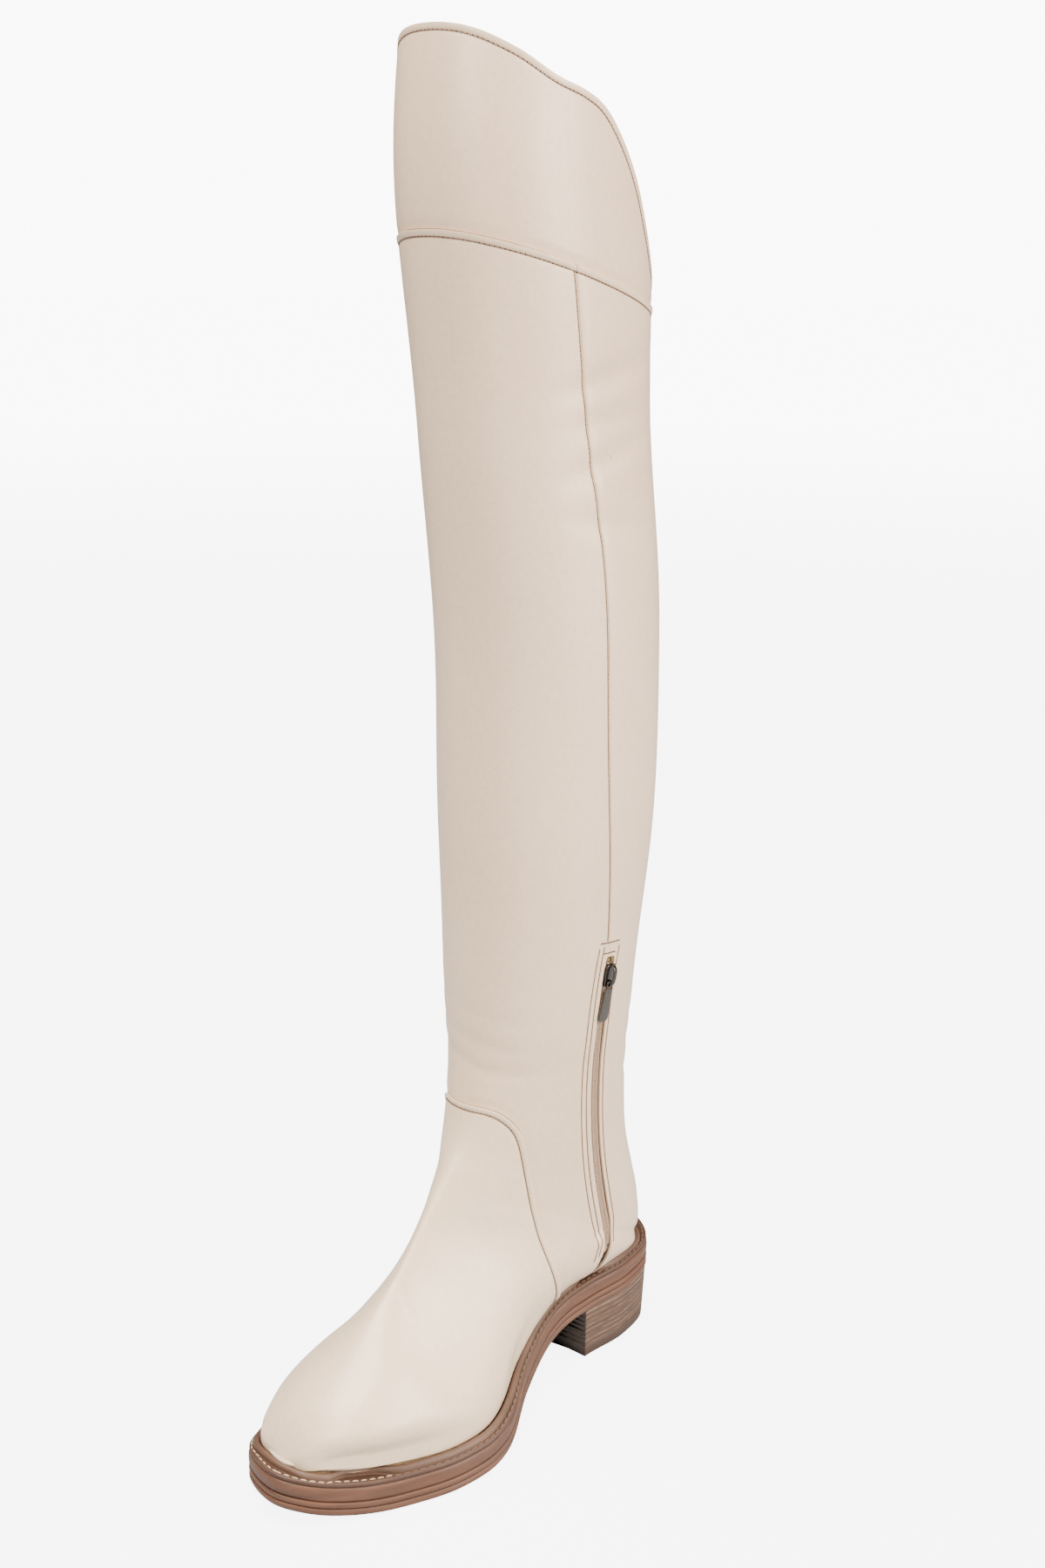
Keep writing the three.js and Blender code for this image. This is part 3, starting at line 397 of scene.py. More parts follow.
class Sheet:
    """Part of the outer face: vertices in (u, v) and the faces between them."""

    def __init__(self, like=None):
        self.uv = np.stack([GRID_U.ravel(), GRID_V.ravel()], -1) if like is None else like.uv.copy()
        self.faces = ([face[::-1] for face in grid_faces(GRID_ROWS, GRID_COLUMNS)] if like is None
                      else list(like.faces))

    def cut(self, field, snap=0.7):
        """Keeps the side where field(points, v), in millimetres, is positive."""
        uv = self.uv
        for _ in range(2):
            value = field(skin_point(uv[:, 0], uv[:, 1]), uv[:, 1])
            near = np.abs(value) < snap
            near &= np.abs(uv[:, 1]) < 0.999
            if not near.any():
                break
            sub = uv[near]
            step_u, step_v = 0.01, 0.004
            du = (field(skin_point(sub[:, 0] + step_u, sub[:, 1]), sub[:, 1]) - value[near]) / step_u
            dv = (field(skin_point(sub[:, 0], sub[:, 1] + step_v), sub[:, 1]) - value[near]) / step_v
            here = skin_point(sub[:, 0], sub[:, 1])
            to_u = skin_point(sub[:, 0] + step_u, sub[:, 1]) - here
            to_v = skin_point(sub[:, 0], sub[:, 1] + step_v) - here
            scale_u = np.maximum(np.linalg.norm(to_u, axis=1) / step_u, 1)
            scale_v = np.maximum(np.linalg.norm(to_v, axis=1) / step_v, 1)
            gu, gv = du / scale_u, dv / scale_v
            size = np.maximum(gu ** 2 + gv ** 2, 0.04)
            cell_u = np.interp(sub[:, 0], GRID_U[:, 0], np.gradient(GRID_U[:, 0]))
            cell_v = GRID_V[0, 1] - GRID_V[0, 0]
            most_u, most_v = LARGEST_MOVE * cell_u, LARGEST_MOVE * cell_v
            move_u = np.clip(-value[near] * gu / size / scale_u, -most_u, most_u)
            move_v = np.clip(-value[near] * gv / size / scale_v, -most_v, most_v)
            uv = uv.copy()
            uv[near, 0] += move_u
            uv[near, 1] = np.clip(uv[near, 1] + move_v, -1, 1)
        self.uv = uv
        return self.split(field, 0.0, keep_both=False)

    def split(self, field, level, keep_both=True):
        """Adds edges along the line where field is level, and keeps both sides or only the upper one."""
        uv = self.uv
        value = field(skin_point(uv[:, 0], uv[:, 1]), uv[:, 1]) - level
        value = np.where(np.abs(value) < 0.06, 0.0, value)
        value = value.tolist()
        points = [tuple(p) for p in uv]
        known = {}
        faces = []
        for face in self.faces:
            signs = [value[k] for k in face]
            lowest, highest = min(signs), max(signs)
            if lowest >= 0 or highest <= 0:
                if keep_both or highest > 0:
                    faces.append(face)
                continue
            upper, lower = [], []
            for a, b in zip(face, face[1:] + face[:1]):
                if value[a] >= 0:
                    upper.append(a)
                if value[a] <= 0:
                    lower.append(a)
                if value[a] * value[b] < 0:
                    key = (a, b) if a < b else (b, a)
                    if key not in known:
                        t = value[key[0]] / (value[key[0]] - value[key[1]])
                        known[key] = len(points)
                        points.append(tuple(uv[key[0]] * (1 - t) + uv[key[1]] * t))
                    upper.append(known[key])
                    lower.append(known[key])
            if len(upper) > 2:
                faces.append(tuple(upper))
            if keep_both and len(lower) > 2:
                faces.append(tuple(lower))
        self.renumber(points, faces)
        return self

    def score(self, field, levels):
        """Adds finer edges along a seam, so that its fold and its stitch groove have geometry."""
        for level in levels:
            self.split(field, level)
        return self

    def renumber(self, points, faces):
        used = sorted({k for face in faces for k in face})
        number = {k: i for i, k in enumerate(used)}
        self.uv = np.array([points[k] for k in used])
        self.faces = [tuple(number[k] for k in face) for face in faces]

    def drop_scraps(self):
        """Drops the loose scraps that the cuts leave."""
        parent = list(range(len(self.uv)))

        def root(k):
            while parent[k] != k:
                parent[k] = parent[parent[k]]
                k = parent[k]
            return k

        for face in self.faces:
            first = root(face[0])
            for k in face[1:]:
                parent[root(k)] = first
        groups = {}
        for face in self.faces:
            groups.setdefault(root(face[0]), []).append(face)
        faces = [face for group in groups.values() if len(group) > SMALLEST_PIECE for face in group]
        self.renumber(self.uv, faces)
        return self

    def build(self, name, height, materials):
        """height(points, v) is how far each point stands over the outer face."""
        u, v = self.uv[:, 0], self.uv[:, 1]
        base = skin_point(u, v)
        points = base + skin_normal(u, v) * height(base, v)[:, None]
        obj = make_object(name, points, self.faces, materials)
        weld = obj.modifiers.new("weld", "WELD")
        weld.merge_threshold = WELD_REACH
        return obj


GRID_POINTS = skin_point(GRID_U, GRID_V)


def contour(field, level=0.0):
    """Lines on the outer face where field is level, as lists of (u, v)."""
    value = field(GRID_POINTS, GRID_V) - level
    value = np.where(value == 0, 1e-9, value)
    segments = []
    corners = [value[:-1, :-1], value[:-1, 1:], value[1:, 1:], value[1:, :-1]]
    mixed = (np.minimum.reduce(corners) < 0) & (np.maximum.reduce(corners) > 0)
    for i, j in zip(*np.nonzero(mixed)):
        loop = [(i, j), (i, j + 1), (i + 1, j + 1), (i + 1, j)]
        cuts = [tuple(sorted((a, b))) for a, b in zip(loop, loop[1:] + loop[:1]) if value[a] * value[b] < 0]
        for k in range(0, len(cuts) - 1, 2):
            segments.append((cuts[k], cuts[k + 1]))
    links = {}
    for a, b in segments:
        links.setdefault(a, []).append(b)
        links.setdefault(b, []).append(a)
    lines = []
    seen = set()
    starts = [k for k, n in links.items() if len(n) == 1] + list(links)
    for start in starts:
        if start in seen:
            continue
        chain = [start]
        seen.add(start)
        while True:
            onward = [k for k in links[chain[-1]] if k not in seen]
            if not onward:
                break
            chain.append(onward[0])
            seen.add(onward[0])
        if len(chain) > 3:
            uv = []
            for a, b in chain:
                t = value[a] / (value[a] - value[b])
                uv.append((GRID_U[a] * (1 - t) + GRID_U[b] * t, GRID_V[a] * (1 - t) + GRID_V[b] * t))
            lines.append(np.array(uv))
    return lines


# ---------------------------------------------------------------- where the seams run

TOP_CURVE = catmull_rom(TOPLINE, 6)
VAMP_CURVE = catmull_rom(VAMP_SEAM, 6)
INNER_CURVE = catmull_rom(INNER_SEAM, 5)
OUTER_CURVE = catmull_rom(OUTER_SEAM, 5)


def cached(line, scale=1.0):
    """Side-view distance to a line, read from a table because it is asked for very often."""
    ys = np.arange(-150, 152, 1.0)
    zs = np.arange(0, 700, 1.0)
    table = signed_distance(line, *np.meshgrid(ys, zs, indexing="ij")) * scale

    def look_up(points, v):
        y = np.clip(points[..., 1] - ys[0], 0, len(ys) - 1.001)
        z = np.clip(points[..., 2] - zs[0], 0, len(zs) - 1.001)
        i, j = y.astype(int), z.astype(int)
        s, t = y - i, z - j
        return ((table[i, j] * (1 - s) + table[i + 1, j] * s) * (1 - t)
                + (table[i, j + 1] * (1 - s) + table[i + 1, j + 1] * s) * t)
    return look_up


below_topline = cached(TOP_CURVE, -1)
above_band_seam = cached(BAND_SEAM)
behind_vamp_seam = cached(VAMP_CURVE)
behind_inner_seam = cached(INNER_CURVE)
behind_outer_seam = cached(OUTER_CURVE)
SLOT_HALF_WIDTH = 3.5
SLOT_TOP = -4.5


def outside_zip_slot(points, v):
    across, distance = zip_coordinates(points)
    side = np.abs(across) - SLOT_HALF_WIDTH
    top = SLOT_TOP - distance
    inside = np.maximum(side, top)
    corner = np.where((side > 0) & (top > 0), np.hypot(side, top), inside)
    return np.where(v > 0, corner, 50.0)


def behind_leg_seam(points, v):
    across, distance = zip_coordinates(points)
    inner = np.where(distance > SLOT_TOP - 4, -across, behind_inner_seam(points, v))
    return np.where(v > 0, inner, behind_outer_seam(points, v))


# ---------------------------------------------------------------- materials


def node_tree(name):
    material = bpy.data.materials.new(name)
    material.use_nodes = True
    nodes = material.node_tree.nodes
    links = material.node_tree.links
    shader = nodes["Principled BSDF"]
    coords = nodes.new("ShaderNodeTexCoord")
    return material, nodes, links, shader, coords


class Recipe:
    """A procedural material on one Principled shader."""

    def __init__(self, name, roughness, metallic=0.0, **constants):
        self.material, self.nodes, self.links, self.shader, self.coords = node_tree(name)
        self.shader.inputs["Roughness"].default_value = roughness
        self.shader.inputs["Metallic"].default_value = metallic
        for key, value in constants.items():
            self.shader.inputs[key.replace("_", " ")].default_value = value

    def texture(self, kind, scale, stretch):
        """A texture node on the object's own coordinates."""
        mapping = self.nodes.new("ShaderNodeMapping")
        mapping.inputs["Scale"].default_value = stretch
        self.links.new(self.coords.outputs["Object"], mapping.inputs["Vector"])
        node = self.nodes.new(kind)
        node.inputs["Scale"].default_value = scale
        self.links.new(mapping.outputs["Vector"], node.inputs["Vector"])
        return node

    def noise(self, scale, detail=3.0, stretch=(1, 1, 1), distortion=0.0, roughness=0.5):
        node = self.texture("ShaderNodeTexNoise", scale, stretch)
        node.inputs["Detail"].default_value = detail
        node.inputs["Distortion"].default_value = distortion
        node.inputs["Roughness"].default_value = roughness
        return node.outputs["Fac"]

    def cells(self, scale, feature="DISTANCE_TO_EDGE", randomness=1.0):
        node = self.texture("ShaderNodeTexVoronoi", scale, (1, 1, 1))
        node.feature = feature
        node.inputs["Randomness"].default_value = randomness
        return node.outputs["Distance"]

    def ramp(self, source, stops):
        node = self.nodes.new("ShaderNodeValToRGB")
        ramp = node.color_ramp
        while len(ramp.elements) < len(stops):
            ramp.elements.new(0.5)
        for element, (position, colour) in zip(ramp.elements, stops):
            element.position = position
            element.color = colour if len(colour) == 4 else (*colour, 1)
        self.links.new(source, node.inputs["Fac"])
        return node.outputs["Color"]

    def math(self, kind, a, b):
        node = self.nodes.new("ShaderNodeMath")
        node.operation = kind
        for k, value in enumerate((a, b)):
            if isinstance(value, (int, float)):
                node.inputs[k].default_value = value
            else:
                self.links.new(value, node.inputs[k])
        return node.outputs["Value"]

    def axis(self, which):
        node = self.nodes.new("ShaderNodeSeparateXYZ")
        self.links.new(self.coords.outputs["Object"], node.inputs["Vector"])
        return node.outputs[which]

    def mix(self, factor, a, b, blend="MIX"):
        node = self.nodes.new("ShaderNodeMix")
        node.data_type = "RGBA"
        node.blend_type = blend
        for key, value in ((0, factor), (6, a), (7, b)):
            if isinstance(value, (int, float)):
                node.inputs[key].default_value = value
            elif isinstance(value, tuple):
                node.inputs[key].default_value = value if len(value) == 4 else (*value, 1)
            else:
                self.links.new(value, node.inputs[key])
        return node.outputs[2]

    def colour(self, source):
        self.links.new(source, self.shader.inputs["Base Color"])

    def roughness(self, source, low, high):
        node = self.nodes.new("ShaderNodeMapRange")
        node.inputs["To Min"].default_value = low
        node.inputs["To Max"].default_value = high
        self.links.new(source, node.inputs["Value"])
        self.links.new(node.outputs["Result"], self.shader.inputs["Roughness"])

    def bump(self, layers):
        """Layers of (height source, distance in metres, strength), the finest last."""
        previous = None
        for source, distance, strength in layers:
            node = self.nodes.new("ShaderNodeBump")
            node.inputs["Distance"].default_value = distance
            node.inputs["Strength"].default_value = strength
            self.links.new(source, node.inputs["Height"])
            if previous is not None:
                self.links.new(previous, node.inputs["Normal"])
            previous = node.outputs["Normal"]
        self.links.new(previous, self.shader.inputs["Normal"])


def srgb(r, g, b):
    """Linear colour of an 8-bit display colour."""
    return tuple((c / 255 / 12.92) if c <= 10 else ((c / 255 + 0.055) / 1.055) ** 2.4 for c in (r, g, b))


def grey(level):
    return (level, level, level)


def leather_material(name, light, dark, roughness=(0.38, 0.5), grain=1.0):
    r = Recipe(name, 0.5, Specular_IOR_Level=0.5, Sheen_Weight=0.06, Sheen_Roughness=0.5,
               Coat_Weight=0.4, Coat_Roughness=0.26)
    broad = r.noise(9, 4, distortion=0.6)
    fine = r.noise(420, 5)
    base = r.ramp(broad, [(0.3, dark), (0.7, light)])
    speckle = r.ramp(fine, [(0.3, (0.93, 0.925, 0.92)), (0.62, (1, 1, 1))])
    r.colour(r.mix(1.0, base, speckle, "MULTIPLY"))
    r.roughness(r.noise(60, 4), *roughness)
    pores = r.cells(1500, randomness=0.95)
    r.bump([
        (r.noise(55, 3, stretch=(1, 1, 0.6)), 0.0009, 0.10 * grain),
        (r.noise(900, 4), 0.00012, 0.22 * grain),
        (pores, 0.00010, 0.28 * grain),
    ])
    return r.material


def thread_material(name, colour):
    r = Recipe(name, 0.75, Sheen_Weight=0.2)
    twist = r.noise(2600, 2)
    r.colour(r.ramp(twist, [(0.3, tuple(c * 0.72 for c in colour)), (0.7, colour)]))
    r.bump([(twist, 0.0001, 0.5)])
    return r.material


def sole_material(name, light, dark, stretch=(1, 1, 9)):
    r = Recipe(name, 0.5, Specular_IOR_Level=0.4, Coat_Weight=0.08, Coat_Roughness=0.4)
    streak = r.noise(28, 6, stretch=stretch, distortion=0.3)
    fine = r.noise(600, 4, stretch=(1, 1, 5))
    base = r.ramp(streak, [(0.25, dark), (0.75, light)])
    r.colour(r.mix(0.5, base, r.ramp(fine, [(0.3, (0.8, 0.78, 0.76)), (0.7, (1, 1, 1))]), "MULTIPLY"))
    r.roughness(streak, 0.42, 0.62)
    r.bump([(streak, 0.0004, 0.25), (fine, 0.00012, 0.4)])
    return r.material


def stack_material():
    """Stacked leather: grey-brown lifts with a pale fuzzy line between each two."""
    r = Recipe("stacked_leather", 0.6, Specular_IOR_Level=0.35)
    height = r.math("MULTIPLY", r.axis("Z"), 1000.0)
    wobble = r.math("MULTIPLY", r.math("SUBTRACT", r.noise(34, 4), 0.5), 0.2)
    over_top_piece = r.math("SUBTRACT", r.math("ADD", height, wobble), TOP_PIECE_HEIGHT + 0.15)
    lifts = r.math("DIVIDE", over_top_piece, LIFT_PITCH)
    phase = r.math("FRACT", lifts, 0.0)
    streak = r.noise(14, 7, stretch=(1, 1, 34))
    body = r.ramp(streak, [(0.3, srgb(70, 51, 41)), (0.5, srgb(84, 63, 51)), (0.72, srgb(97, 74, 60))])
    line_stops = ((0.0, 1), (0.13, 0.55), (0.26, 0), (0.9, 0), (1.0, 1))
    pale = r.ramp(phase, [(stop, grey(level)) for stop, level in line_stops])
    break_up = r.ramp(r.noise(120, 5, stretch=(1, 1, 3)), [(0.35, grey(0.12)), (0.6, grey(0.85))])
    amount = r.mix(1.0, pale, break_up, "MULTIPLY")
    r.colour(r.mix(amount, body, srgb(160, 137, 118)))
    r.roughness(streak, 0.5, 0.72)
    fibre = r.noise(500, 4, stretch=(1, 1, 4))
    r.bump([(streak, 0.0003, 0.15), (phase, 0.0002, 0.12), (fibre, 0.00015, 0.5)])
    return r.material


def cloth_material(name, light, dark, threads=2600):
    r = Recipe(name, 0.85, Sheen_Weight=0.35, Sheen_Roughness=0.4)
    weave = r.cells(threads, "F1", randomness=0.25)
    r.colour(r.ramp(weave, [(0.1, light), (0.75, dark)]))
    r.bump([(r.noise(150, 3), 0.0004, 0.2), (weave, 0.00015, 0.7)])
    return r.material


def metal_material(name, colour, roughness, brushed=(1, 1, 1)):
    r = Recipe(name, roughness, metallic=1.0)
    scratch = r.noise(900, 4, stretch=brushed)
    r.colour(r.ramp(scratch, [(0.3, tuple(c * 0.78 for c in colour)), (0.7, colour)]))
    r.roughness(scratch, roughness * 0.75, roughness * 1.35)
    r.bump([(scratch, 0.00005, 0.25)])
    return r.material


def plain_board(name, light, dark, scale=300):
    r = Recipe(name, 0.85)
    fibre = r.noise(scale, 6, stretch=(1, 1, 2))
    r.colour(r.ramp(fibre, [(0.3, dark), (0.7, light)]))
    r.bump([(fibre, 0.0003, 0.5)])
    return r.material


BAND = leather_material("nappa_band", srgb(226, 199, 172), srgb(221, 192, 164))
SHAFT = leather_material("nappa_shaft", srgb(230, 203, 175), srgb(225, 196, 167))
VAMP = leather_material("nappa_vamp", srgb(233, 209, 180), srgb(229, 203, 173), (0.32, 0.44), 0.8)
LINING = leather_material("lining_leather", srgb(216, 198, 176), srgb(205, 186, 163), (0.62, 0.78), 1.5)
# The upper's thread is pale beige; its colour here is darkened as painted shade along the stitch rows.
THREAD = thread_material("thread_beige_darkened_with_painted_shade", srgb(140, 104, 78))
# Near-black capsules at the ends of each stitch: painted shade standing in for the dark inside the needle
# holes.
STITCH_HOLE_SHADE = thread_material("painted_stitch_hole_shade", srgb(46, 31, 22))
# Darker copy of the pale welt thread for the sides of the sole: painted shade.
SHADED_WELT_THREAD = thread_material("thread_welt_painted_shade", srgb(104, 78, 62))
WELT_THREAD = thread_material("thread_welt", srgb(196, 172, 150))
SOLE = sole_material("sole_wall", srgb(107, 71, 52), srgb(78, 51, 37))
WELT = sole_material("welt_brown", srgb(88, 62, 48), srgb(64, 44, 34), stretch=(1, 1, 3))
BEAD = sole_material("welt_bead", srgb(104, 78, 63), srgb(78, 57, 45), stretch=(1, 1, 2))
STACK = stack_material()
BREAST = sole_material("breast_face", srgb(46, 35, 29), srgb(32, 24, 20), stretch=(1, 1, 4))
TOP_PIECE = sole_material("heel_top_piece", srgb(80, 58, 46), srgb(60, 43, 34), stretch=(1, 1, 3))
TAPE = cloth_material("zip_tape", srgb(214, 186, 160), srgb(180, 150, 124))
COIL = thread_material("zip_coil", srgb(176, 146, 122))
GUNMETAL = metal_material("gunmetal", srgb(84, 79, 76), 0.24, (1, 1, 0.3))
PULLER = metal_material("brushed_gunmetal", srgb(98, 94, 90), 0.42, (0.25, 0.25, 2))
BRASS = metal_material("brass", srgb(160, 134, 96), 0.36)
STEEL = metal_material("steel", srgb(170, 172, 176), 0.35)
BOARD = plain_board("fibre_board", srgb(190, 160, 122), srgb(160, 130, 96))
CORK = plain_board("cork", srgb(176, 132, 92), srgb(112, 78, 52), 500)

# ---------------------------------------------------------------- the upper

RING_COUNT = len(edge_ring)
edge_run = np.roll(edge_ring, -1, axis=0) - np.roll(edge_ring, 1, axis=0)
edge_run /= np.linalg.norm(edge_run, axis=1, keepdims=True)
inward = np.stack([-edge_run[:, 1], edge_run[:, 0]], -1)
BEAD_ROOM = 5.7
TUCK_END = 34.0


def tuck(points):
    """Draws the foot of the upper in wherever it would hang over the bead round the sole's edge."""
    above = points[:, 2] - ground_line(points[:, 1]) - WALL_TOP
    result = np.zeros(len(points))
    close = np.flatnonzero(above < 30)
    to = points[close][:, None, :2] - edge_ring
    nearest = np.linalg.norm(to, axis=-1).argmin(-1)
    gap = (to[np.arange(len(close)), nearest] * inward[nearest]).sum(-1)
    short = BEAD_ROOM - gap
    result[close] = 0.5 * (short + np.sqrt(short ** 2 + 1.0)) * (1 - smoothstep(above[close], 12, 30))
    return -result * (1 - smoothstep(points[:, 1], TUCK_END - 50, TUCK_END))



def creases(points):
    """Soft folds of the leather, in millimetres."""
    x, y, z = points[..., 0], points[..., 1], points[..., 2]
    slow = 0.55 * np.sin(z / 47 + y / 31) * np.sin(z / 83 - x / 60 + 1.3)
    slow += 0.35 * np.sin(z / 23 + 1.7 * np.sin(y / 37) + x / 55)
    slow *= smoothstep(z, 175, 240)
    inner = smoothstep(x, 10, 35)
    knee = 0.0
    for height, slant, size in ((521, 0.22, 1.5), (502, 0.12, 1.0), (484, 0.3, 1.3), (455, -0.16, 0.8)):
        knee = knee - size * bump(z - slant * (y - 45), height, 6.0) * bump(y, 50, 26) * inner
    ankle = 0.0
    front = smoothstep(-y, -40, 5) * smoothstep(z, 165, 178)
    for height, size in ((186, 0.7), (199, 0.45), (214, 0.3)):
        ankle = ankle - size * bump(z + 0.2 * x, height, 3.4) * front
    back = smoothstep(y, 78, 108)
    for height, size in ((176, 0.7), (158, 0.9), (190, 0.5)):
        ankle = ankle - size * bump(z - 0.1 * x, height, 4.5) * back
    return slow + knee + ankle


def fold_lip(distance, height, width=2.2):
    """A folded edge that stands up where distance is near 0 and falls off inside the panel."""
    return height * (1 - smoothstep(distance, width * 0.45, width * 1.5))


STITCH_INSET = 3.0
EDGE_SCORES = (0.5, 1.2, 2.0, 2.5, 3.0, 3.5, 4.3)


def stitch_groove(distance, depth=0.3, width=0.6):
    return -depth * bump(distance, STITCH_INSET, width)


def band_height(points, v):
    edge = below_topline(points, v)
    seam = above_band_seam(points, v)
    h = creases(points) + fold_lip(edge, 0.25) + stitch_groove(edge)
    return h - 0.5 * (1 - smoothstep(seam, 0, 5))


def zip_edges(points, v):
    across, distance = zip_coordinates(points)
    side = np.abs(across) - SLOT_HALF_WIDTH
    live = smoothstep(distance, SLOT_TOP - 6, SLOT_TOP) * (v > 0)
    lip = 0.45 * bump(side, 0.9, 1.3) - 0.3 * bump(side, STITCH_INSET, 0.7) + 0.12 * bump(side, 4.6, 1.0)
    front_row = np.where(across > 0, -0.25 * bump(side, 6.6, 0.7), 0)
    swell = np.where(across > 0, 0.35, 0.2) * bump(side, 8.8, 1.8)
    return live * (lip + front_row + swell)


def tape_end_fold(points, v):
    """Near the welt the tape's end pushes the leather out in a small fold."""
    across, distance = zip_coordinates(points)
    pucker = bump(distance, ZIP_SPAN + 8, 3.4) * bump(across, 8.5, 3.6)
    return (v > 0) * (1.3 * pucker - 0.5 * bump(distance, ZIP_SPAN + 3, 2) * bump(across, 8.0, 3.5))


def shaft_height(points, v):
    seam = -above_band_seam(points, v)
    vamp = behind_vamp_seam(points, v)
    leg = np.abs(behind_leg_seam(points, v))
    _, distance = zip_coordinates(points)
    away = np.where((v > 0) & (distance > SLOT_TOP - 10), 0.0, 1.0)
    h = creases(points) + fold_lip(seam, 0.65) + stitch_groove(seam) * 1.3
    h = h - 0.55 * (1 - smoothstep(vamp, 0, 5.5))
    h = h + away * (-0.55 * bump(leg, 0, 0.9) + 0.18 * bump(leg, 2.4, 1.3) - 0.16 * bump(leg, 1.5, 0.5))
    return h + zip_edges(points, v) + tape_end_fold(points, v)


def vamp_height(points, v):
    seam = -behind_vamp_seam(points, v)
    x, y, z = points[..., 0], points[..., 1], points[..., 2]
    wave = 0.25 * np.sin(y / 19 + x / 23) * smoothstep(z, 45, 80)
    flex = 0.0
    for place, size in ((-52, 0.35), (-60, 0.25)):
        flex = flex - size * bump(y + 0.25 * np.hypot(x, 12), place, 3.2) * smoothstep(z, 58, 75)
    return wave + flex + tuck(points) + fold_lip(seam, 0.75) + stitch_groove(seam) * 1.3


SEAM_GAP = 0.12


def panel_edges(points, v):
    return below_topline(points, v) - 0.1


ZIP_SCORES = (0.5, 1.1, 1.8, 2.5, 3.0, 3.5, 4.6, 6.0, 6.6, 7.2, 8.8)
LEG_SCORES = (0.5, 1.0, 1.5, 2.0, 3.2)
band_sheet = Sheet().cut(panel_edges).cut(lambda p, v: above_band_seam(p, v) - SEAM_GAP).drop_scraps()
band_sheet = band_sheet.score(below_topline, EDGE_SCORES).score(above_band_seam, (0.8, 2.5, 5.0))
shaft_sheet = Sheet().cut(lambda p, v: -above_band_seam(p, v) - SEAM_GAP)
shaft_sheet = shaft_sheet.cut(lambda p, v: behind_vamp_seam(p, v) - SEAM_GAP).cut(outside_zip_slot)
shaft_sheet = shaft_sheet.score(lambda p, v: -above_band_seam(p, v), EDGE_SCORES)
shaft_sheet = shaft_sheet.score(behind_vamp_seam, (0.8, 2.5, 5.0)).score(outside_zip_slot, ZIP_SCORES)
front_sheet = Sheet(shaft_sheet).cut(lambda p, v: -behind_leg_seam(p, v) - SEAM_GAP).drop_scraps()
front_sheet.score(lambda p, v: -behind_leg_seam(p, v), LEG_SCORES)
back_sheet = shaft_sheet.cut(lambda p, v: behind_leg_seam(p, v) - SEAM_GAP).drop_scraps()
vamp_sheet = Sheet().cut(lambda p, v: -behind_vamp_seam(p, v) - SEAM_GAP).drop_scraps()
vamp_sheet = vamp_sheet.score(lambda p, v: -behind_vamp_seam(p, v), EDGE_SCORES)

for name, sheet, height, material in (
    ("top_band_leather", band_sheet, band_height, BAND),
    ("front_shaft_leather", front_sheet, shaft_height, SHAFT),
    ("back_shaft_leather", back_sheet, shaft_height, SHAFT),
    ("vamp_leather", vamp_sheet, vamp_height, VAMP),
):
    panel = sheet.build(name, height, [material])
    add_thickness(panel, LEATHER_THICKNESS, 0.45, 3)
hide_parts("top_band")
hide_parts("front_shaft_panel")
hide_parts("back_shaft_panel")
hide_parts("vamp")

# ---------------------------------------------------------------- lining, sock and guard


POCKET_REACH = 12.0
LINING_DEPTH = 3.0
LINING_THICKNESS = 0.9
GUARD_HALF_WIDTH = 15.5
GUARD_DEPTH = 5.6


def outside_zip_pocket(points, v):
    across, distance = zip_coordinates(points)
    inside = np.maximum(np.abs(across) - POCKET_REACH, -POCKET_REACH - distance)
    return np.where(v > 0, inside, 50.0)


def lining_height(points, v):
    edge = below_topline(points, v)
    closeness = 1 - smoothstep(edge, 0.3, 4.5)
    return -LINING_DEPTH + tuck(points) + 1.45 * closeness + creases(points) * (0.3 + 0.7 * closeness)


lining_sheet = Sheet().cut(lambda p, v: below_topline(p, v) - 0.15).cut(outside_zip_pocket).drop_scraps()
lining = lining_sheet.build("lining", lining_height, [LINING])
add_thickness(lining, LINING_THICKNESS, 0.3, 2)
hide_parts("shaft_lining", "foot_lining")

TOE_PUFF_BACK, TOE_PUFF_LEAN = -84.0, 6.0 / 90.0
puff_sheet = Sheet().cut(lambda p, v: TOE_PUFF_BACK - TOE_PUFF_LEAN * p[..., 2] - p[..., 1]).drop_scraps()
puff = puff_sheet.build("toe_stiffener", lambda p, v: tuck(p) - 1.45, [BOARD])
add_thickness(puff, 0.9, 0.2)
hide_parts("toe_puff")


TAPE_REACH = 11.0


def strip_points(inner, outer, height, start, stop, rows, columns, sag):
    distance = np.linspace(start, stop, rows)[:, None] + np.zeros((1, columns))
    across = np.linspace(inner, outer, columns)[None, :] + np.zeros((rows, 1))
    lift = height - sag * (across / TAPE_REACH) ** 2
    return zip_place(across, distance, lift)


def guard_strip():
    """The leather flap behind the zip follows the leg."""
    sheet = Sheet()
    sheet.cut(lambda p, v: np.where(v > 0, GUARD_HALF_WIDTH - np.abs(zip_coordinates(p)[0]), -50.0))
    sheet.cut(lambda p, v: zip_coordinates(p)[1] + 13.5)
    sheet.cut(lambda p, v: ZIP_SPAN + 7 - zip_coordinates(p)[1])
    sheet.drop_scraps()
    guard = sheet.build("zip_guard_flap", lambda p, v: np.full(len(p), -GUARD_DEPTH), [LINING])
    add_thickness(guard, 0.8, 0.25)
    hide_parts("zip_guard")


guard_strip()

# ---------------------------------------------------------------- stitches


def line_points(uv, height):
    u, v = uv[:, 0], uv[:, 1]
    base = skin_point(u, v)
    normal = skin_normal(u, v)
    return base + normal * height(base, v)[:, None], normal


